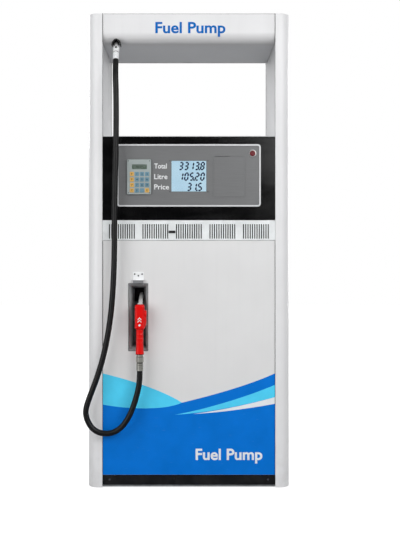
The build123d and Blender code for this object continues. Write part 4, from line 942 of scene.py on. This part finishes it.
def screen_surround():
    """Thin gasket round the screen, and the zinc-plated tray that carries the screen behind the panel."""
    centre_x, _, centre_z = middle("lcd_module")
    wide, high = LCD_HIGH.x - LCD_LOW.x, LCD_HIGH.z - LCD_LOW.z

    def outline(wider, radius):
        return rounded((centre_x, centre_z), (wide + wider * MM, high + wider * MM), radius * MM)

    bm = bmesh.new()
    add_ring_plate(bm, outline(3.0, 2.0), outline(-0.6, 1.0), (PLATE_Y - 0.7 * MM, PLATE_Y - 0.05 * MM))
    piece("screen_gasket", bm, "gasket")
    bm = bmesh.new()
    add_prism(bm, outline(2.0, 2.0), LCD_HIGH.y + 0.1 * MM, LCD_HIGH.y + 1.2 * MM)
    piece("display_backing", bm, "zinc_steel")


def stop_ring():
    """Bright collar round the stop button."""
    low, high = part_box("stop_button")
    centre_x, _, centre_z = middle("stop_button")
    inner = ((high.x - low.x) / 2 + 0.4 * MM) / MM
    profile = [(inner, 0), (inner, 2.2), (inner + 0.8, 3.0), (inner + 2.8, 2.6), (inner + 3.6, 0.0), (inner, 0)]
    turned("stop_button_ring", "bright_metal", profile, (centre_x, PLATE_Y, centre_z), FRONT, 48)


screen_surround()
stop_ring()


# ---- keypad ----
LEGENDS = ("F123", "P456", "V789", "C0.E")
LEGEND_HIGH, POINT_HIGH = 8.2 * MM, 2.2 * MM
KEY_SCREEN_PLACE = (56.5 * MM, -33.5 * MM)   # from the keypad's left and top
KEY_SCREEN_SIZE = (67.6 * MM, 21.6 * MM)
PAD_SCREW_INSET = 7 * MM


def key_legends():
    for row, marks in enumerate(LEGENDS, 1):
        for column, mark in enumerate(marks, 1):
            key = f"key_{row}_{column}"
            centre_x, _, centre_z = middle(key)
            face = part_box(key)[0].y - 0.04 * MM
            lettering(f"legend_{row}_{column}", mark, (centre_x, face, centre_z),
                      POINT_HIGH if mark == "." else LEGEND_HIGH, "legend", f"{key}_cap", bold=0.02,
                      depth=0.04 * MM)


def keypad_screen():
    """Small dark screen in the recess above the keys."""
    centre = (KEYPAD_LOW.x + KEY_SCREEN_PLACE[0], KEYPAD_HIGH.z + KEY_SCREEN_PLACE[1])
    bm = bmesh.new()
    front = KEYPAD_LOW.y + 2 * MM
    add_prism(bm, rounded(centre, KEY_SCREEN_SIZE, 1.4 * MM), front - 0.6 * MM, front - 0.05 * MM)
    piece("keypad_screen", bm, "keypad_screen")
    lettering("keypad_screen_text", "READY", (centre[0], front - 0.7 * MM, centre[1]), 7 * MM, "readout",
              depth=0.03 * MM)


key_legends()
keypad_screen()
pad_x = (KEYPAD_LOW.x + PAD_SCREW_INSET, KEYPAD_HIGH.x - PAD_SCREW_INSET)
pad_z = (KEYPAD_LOW.z + PAD_SCREW_INSET, KEYPAD_HIGH.z - PAD_SCREW_INSET)
screws("keypad_screws", [(x, KEYPAD_LOW.y, z) for x in pad_x for z in pad_z], FRONT, 2.2 * MM)


# ---- cabinet trim ----
def column_strips(name, look, spans, inset, size, radius, depths):
    """Upright strips along both columns' inner corners, front and rear, each over a span of height."""
    for face, out in (("front", 1), ("rear", -1)):
        bm = bmesh.new()
        for side in (-1, 1):
            for z0, z1 in spans:
                centre = (side * (COLUMN_INNER - inset), (z0 + z1) / 2)
                outline = rounded(centre, (size, z1 - z0), radius, 2)
                add_prism(bm, outline, *(out * (DOOR_Y + depth) for depth in depths))
        piece(f"{face}_{name}", bm, look)


def seam_seals():
    """Black rubber in the joints between the columns and the panels."""
    gap = 0.2 * MM
    spans = ((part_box("kickplates")[0].z, DOOR_HIGH.z), (STRIP_LOW.z, PANEL_HIGH.z), (HEADER_LOW, TOP))
    spans = [(z0 + gap, z1 - gap) for z0, z1 in spans]
    column_strips("seam_seals", "seal", spans, 0.9 * MM, 1.7 * MM, 0.5 * MM, (-0.3 * MM, -2.0 * MM))


def edge_trims():
    """Grey edging on the columns' inner corners beside the opening."""
    spans = [(PANEL_HIGH.z + 1 * MM, HEADER_LOW - 1 * MM)]
    column_strips("edge_trims", "trim", spans, 0.5 * MM, 1.4 * MM, 0.4 * MM, (-0.5 * MM, 9 * MM))


ELBOW_RISE = 63.4 * MM                    # from the hose's end to the middle of the outlet's elbow
ELBOW_FACING = Vector((0, -1, 0.25)).normalized()
PLUG = ((0.0, 10.0), (5.6, 10.0), (5.6, 14.2), (4.8, 15.0), (2.0, 15.1), (1.6, 14.4), (0.0, 14.4))
JOINT_SEAL = ((10.0, 38.2), (14.2, 38.4), (14.2, 40.6), (10.0, 40.8))


def outlet_details():
    """Black plug in the elbow of the hose outlet, and the seal of its swivel joint."""
    start, below = Vector(HOSE_ROUTE[0]), Vector(HOSE_ROUTE[1])
    up = (start - below).normalized()
    bm = bmesh.new()
    add_lathe(bm, millimetres(PLUG), start + up * ELBOW_RISE, ELBOW_FACING, 32)
    add_lathe(bm, millimetres(JOINT_SEAL), start, up, 36)
    piece("outlet_plug_and_seal", bm, "seal")


PLEAT, PLEAT_DEEP = 3.0 * MM, 2.2 * MM


def vent_filters():
    """Pleated filter behind the slots of each strip, near black as painted shade behind the slots."""
    for name, out in (("front_vent_filter", -1), ("rear_vent_filter", 1)):
        bm = bmesh.new()
        near = out * (-STRIP_HIGH.y + 0.6 * MM)
        half = int((COLUMN_INNER - 6 * MM) / PLEAT)
        heights = (STRIP_LOW.z + 4 * MM, STRIP_HIGH.z - 4 * MM)
        rows = []
        for i in range(-half, half + 1):
            y = near - out * (0.0 if i % 2 else PLEAT_DEEP)
            rows.append([bm.verts.new((i * PLEAT, y, z)) for z in heights])
        for a, b in zip(rows, rows[1:]):
            bm.faces.new((a[0], b[0], b[1], a[1]))
        # The filter is near black: painted shade seen through the slots.
        piece(name, bm, "dark", smooth=False)


KICK_SCREW_X, KICK_SCREW_Z = (-0.36, 0.36), 32 * MM
ROOF_SCREW_X, ROOF_SCREW_Y = (-0.36, -0.12, 0.12, 0.36), (-0.215, 0.215)
HASP_SCREWS = ((-17, 9), (17, 9), (0, 2))    # across and up from the middle of the plate, in mm
HINGE_HEIGHTS = (0.205, 0.935, 1.275, 1.495)
HINGE_SCREW_X, HINGE_FACE_Y, HINGE_SCREW_RISE = 397 * MM, 242.5 * MM, 7 * MM
RIVET_HEIGHTS, RIVET_Y = (0.08, 0.55, 1.02, 1.49, 1.96), (-0.12, 0.12)
RIVET_DOME = ((5.0, 0.0), (4.6, 0.2), (3.0, 0.4), (1.2, 0.3), (0, 0.3))


def cabinet_screws():
    """Screws of the kickplates, the hasp, the hinges' leaves and the roof."""
    kick_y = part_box("kickplates")[0].y
    screws("front_kick_screws", [(x, kick_y, KICK_SCREW_Z) for x in KICK_SCREW_X], FRONT, 5 * MM)
    screws("rear_kick_screws", [(x, -kick_y, KICK_SCREW_Z) for x in KICK_SCREW_X], REAR, 5 * MM)
    hasp_x, plate_z = middle("hasp_bracket")[0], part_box("hasp_bracket")[1].z - 19.5 * MM
    hasp = [(hasp_x + dx, DOOR_Y - 2 * MM, plate_z + dz) for dx, dz in millimetres(HASP_SCREWS)]
    screws("hasp_screws", hasp, FRONT, 3.6 * MM)
    rises = (-HINGE_SCREW_RISE, HINGE_SCREW_RISE)
    leaves = [(HINGE_SCREW_X, HINGE_FACE_Y, z + rise) for z in HINGE_HEIGHTS for rise in rises]
    screws("hinge_screws", leaves, REAR, 2.8 * MM)
    roof = [(x, y, TOP) for x in ROOF_SCREW_X for y in ROOF_SCREW_Y]
    screws("roof_screws", roof, UP, 6 * MM, flat=True)


def column_rivets():
    """Blind rivets down the outside of each column, where its inner stiffener is fixed."""
    for name, side in (("column_rivets_left", -1), ("column_rivets_right", 1)):
        bm = bmesh.new()
        for z in RIVET_HEIGHTS:
            for y in RIVET_Y:
                add_lathe(bm, millimetres(RIVET_DOME), (side * COLUMN_OUTER, y, z), (side, 0, 0), 20)
        piece(name, bm, "white_paint")


# ---- bolts inside ----
PUMP_MIDDLE = 100 * MM                    # from the pump's left side
PUMP_AXIS_Z, COVER_X, COVER_Z = 191 * MM, 72 * MM, 85 * MM
SEPARATOR_TOP, SEPARATOR_RING = 326 * MM, 37 * MM
FILTER_X, FILTER_Y = -62 * MM, 65 * MM
SHAFT_Z, MOTOR_RING = 180 * MM, 64 * MM
TERMINAL_X, TERMINAL_Y = (-37 * MM, 37 * MM), (-27 * MM, 82 * MM)
METER_Z, METER_RING = 495 * MM, 22.5 * MM


def pump_bolts():
    """Bolts of the pump's cover, the separator's lid and the filter's cap."""
    low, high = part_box("pump_unit")
    x, y = low.x + PUMP_MIDDLE, high.y - 2 * MM
    corners = [(dx, dz) for dx in (-COVER_X, 0.0, COVER_X) for dz in (-COVER_Z, COVER_Z)]
    cover = [(x + dx, y, PUMP_AXIS_Z + dz) for dx, dz in corners + [(-COVER_X, 0.0), (COVER_X, 0.0)]]
    bolts("pump_cover_bolts", cover, REAR, 13 * MM, 8 * MM)
    lid = [(x + SEPARATOR_RING * c, SEPARATOR_RING * s, SEPARATOR_TOP) for c, s in circle(6)]
    bolts("separator_bolts", lid, UP, 10 * MM, 6 * MM)
    bolts("filter_cap_nut", [(x + FILTER_X, FILTER_Y, high.z)], UP, 24 * MM, 9 * MM)


def motor_bolts():
    """Bolts of the motor's end shield and of its terminal box."""
    high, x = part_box("motor")[1], middle("motor")[0]
    ring = [(x + MOTOR_RING * c, high.y, SHAFT_Z + MOTOR_RING * s) for c, s in circle(4, math.pi / 4)]
    bolts("motor_end_bolts", ring, REAR, 12 * MM, 7 * MM)
    lid = [(x + dx, y, high.z) for dx in TERMINAL_X for y in TERMINAL_Y]
    bolts("terminal_box_bolts", lid, UP, 9 * MM, 5 * MM)


def meter_bolts():
    """Bolts of the meter's four cylinder covers."""
    low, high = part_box("flow_meter")
    x, y, _ = middle("flow_meter")
    for number, axis in enumerate((RIGHT, LEFT, REAR, FRONT), 1):
        out = Vector(axis)
        side, rise = Vector((out.y, out.x, 0)) * METER_RING, Vector((0, 0, METER_RING))
        face = Vector((x, y, METER_Z)) + out * (high.y - low.y) / 2
        heads = [face + side * c + rise * s for c, s in circle(4, math.pi / 4)]
        bolts(f"meter_cover_bolts_{number}", heads, axis, 8 * MM, 5 * MM)


for add_trim in (seam_seals, pump_bolts, motor_bolts, meter_bolts, edge_trims, outlet_details, vent_filters,
                 cabinet_screws, column_rivets):
    add_trim()


# ---- stage ----
FLOOR_REACH = 14.0


def stage():
    """Pale floor that reads as white to the camera, with a painted shadow round the object where it glows less,
    and throws little light back.
    """
    look = Look("stage_floor")
    drift = look.noise(1.5, 4.0)
    look.set(Base_Color=look.mix(look.map(drift), srgb(158, 158, 158), srgb(164, 164, 164)), Roughness=0.8)
    away = look.add("VectorMath", {"Vector": look.place}, operation="LENGTH").outputs["Value"]
    to_camera = look.add("LightPath").outputs["Is Camera Ray"]
    # Painted shadow: the glow is weaker near the object, rising to full beyond about 3 m.
    glow = look.math("MULTIPLY", to_camera, look.map(away, 0.9, 3.2, 0.8, 1.0))
    look.set(Emission_Color=(1.0, 1.0, 1.0, 1.0), Emission_Strength=glow)
    look.set(Specular_IOR_Level=0.0)
    mesh = bpy.data.meshes.new("floor")
    far = FLOOR_REACH
    mesh.from_pydata([(-far, -far, 0), (far, -far, 0), (far, far, 0), (-far, far, 0)], [], [(0, 1, 2, 3)])
    mesh.materials.append(look.material)
    link("floor", mesh)


def area_light(name, place, aim, size, power):
    """Soft light at a place, aimed at a height on the middle line."""
    wide, high = size
    light = given(bpy.data.lights.new(name, "AREA"), shape="RECTANGLE", size=wide, size_y=high, energy=power)
    turn = (Vector((0, 0, aim)) - Vector(place)).to_track_quat("-Z", "Y").to_euler()
    given(link(name, light), location=place, rotation_euler=turn)


def world_light():
    """Pale surroundings that cast less light than their look suggests, and hardly any from straight ahead."""
    world = bpy.data.worlds.new("studio")
    world.use_nodes = True
    tree = Nodes(world.node_tree)
    seen = tree.nodes["Background"]
    tree.put(seen.inputs["Color"], (1.0, 1.0, 1.0, 1.0))
    tree.put(seen.inputs["Strength"], 1.0)
    ahead = tree.add("SeparateXYZ", {"Vector": tree.add("TexCoord").outputs["Generated"]}).outputs["Y"]
    level = tree.add("MapRange", {
        "Value": ahead, "From Min": -0.96, "From Max": -0.55, "To Min": 0.01, "To Max": 0.40})
    lit = tree.add("Background", {"Color": (0.97, 0.98, 1.0, 1.0), "Strength": level.outputs["Result"]})
    choose = tree.add("MixShader")
    to_camera = tree.add("LightPath").outputs["Is Camera Ray"]
    for index, value in enumerate((to_camera, lit.outputs[0], seen.outputs[0])):
        tree.put(choose.inputs[index], value)
    tree.put(tree.nodes["World Output"].inputs["Surface"], choose.outputs[0])
    bpy.context.scene.world = world


def camera():
    """Long lens at half the cabinet's height, square to its front."""
    lens = given(bpy.data.cameras.new("camera"), lens=58.12, sensor_width=36.0, sensor_fit="AUTO",
                 shift_x=0.0209, shift_y=-0.020)
    level = (math.radians(90), 0, 0)
    bpy.context.scene.camera = given(link("camera", lens), location=(0.0, -4.14, 1.05), rotation_euler=level)


stage()
area_light("key", (2.6, -4.3, 2.9), 1.2, (3.8, 2.4), 146)
area_light("fill", (-3.4, -3.9, 1.9), 1.0, (3.6, 3.2), 112)
area_light("top", (0.0, -0.9, 4.6), 1.0, (3.0, 3.0), 8)
area_light("rear_key", (-3.2, 3.6, 3.3), 1.2, (3.0, 2.4), 120)
area_light("rear_fill", (3.6, 3.8, 1.9), 1.0, (3.0, 3.0), 95)
world_light()
camera()
bpy.context.scene.view_settings.view_transform = "Standard"
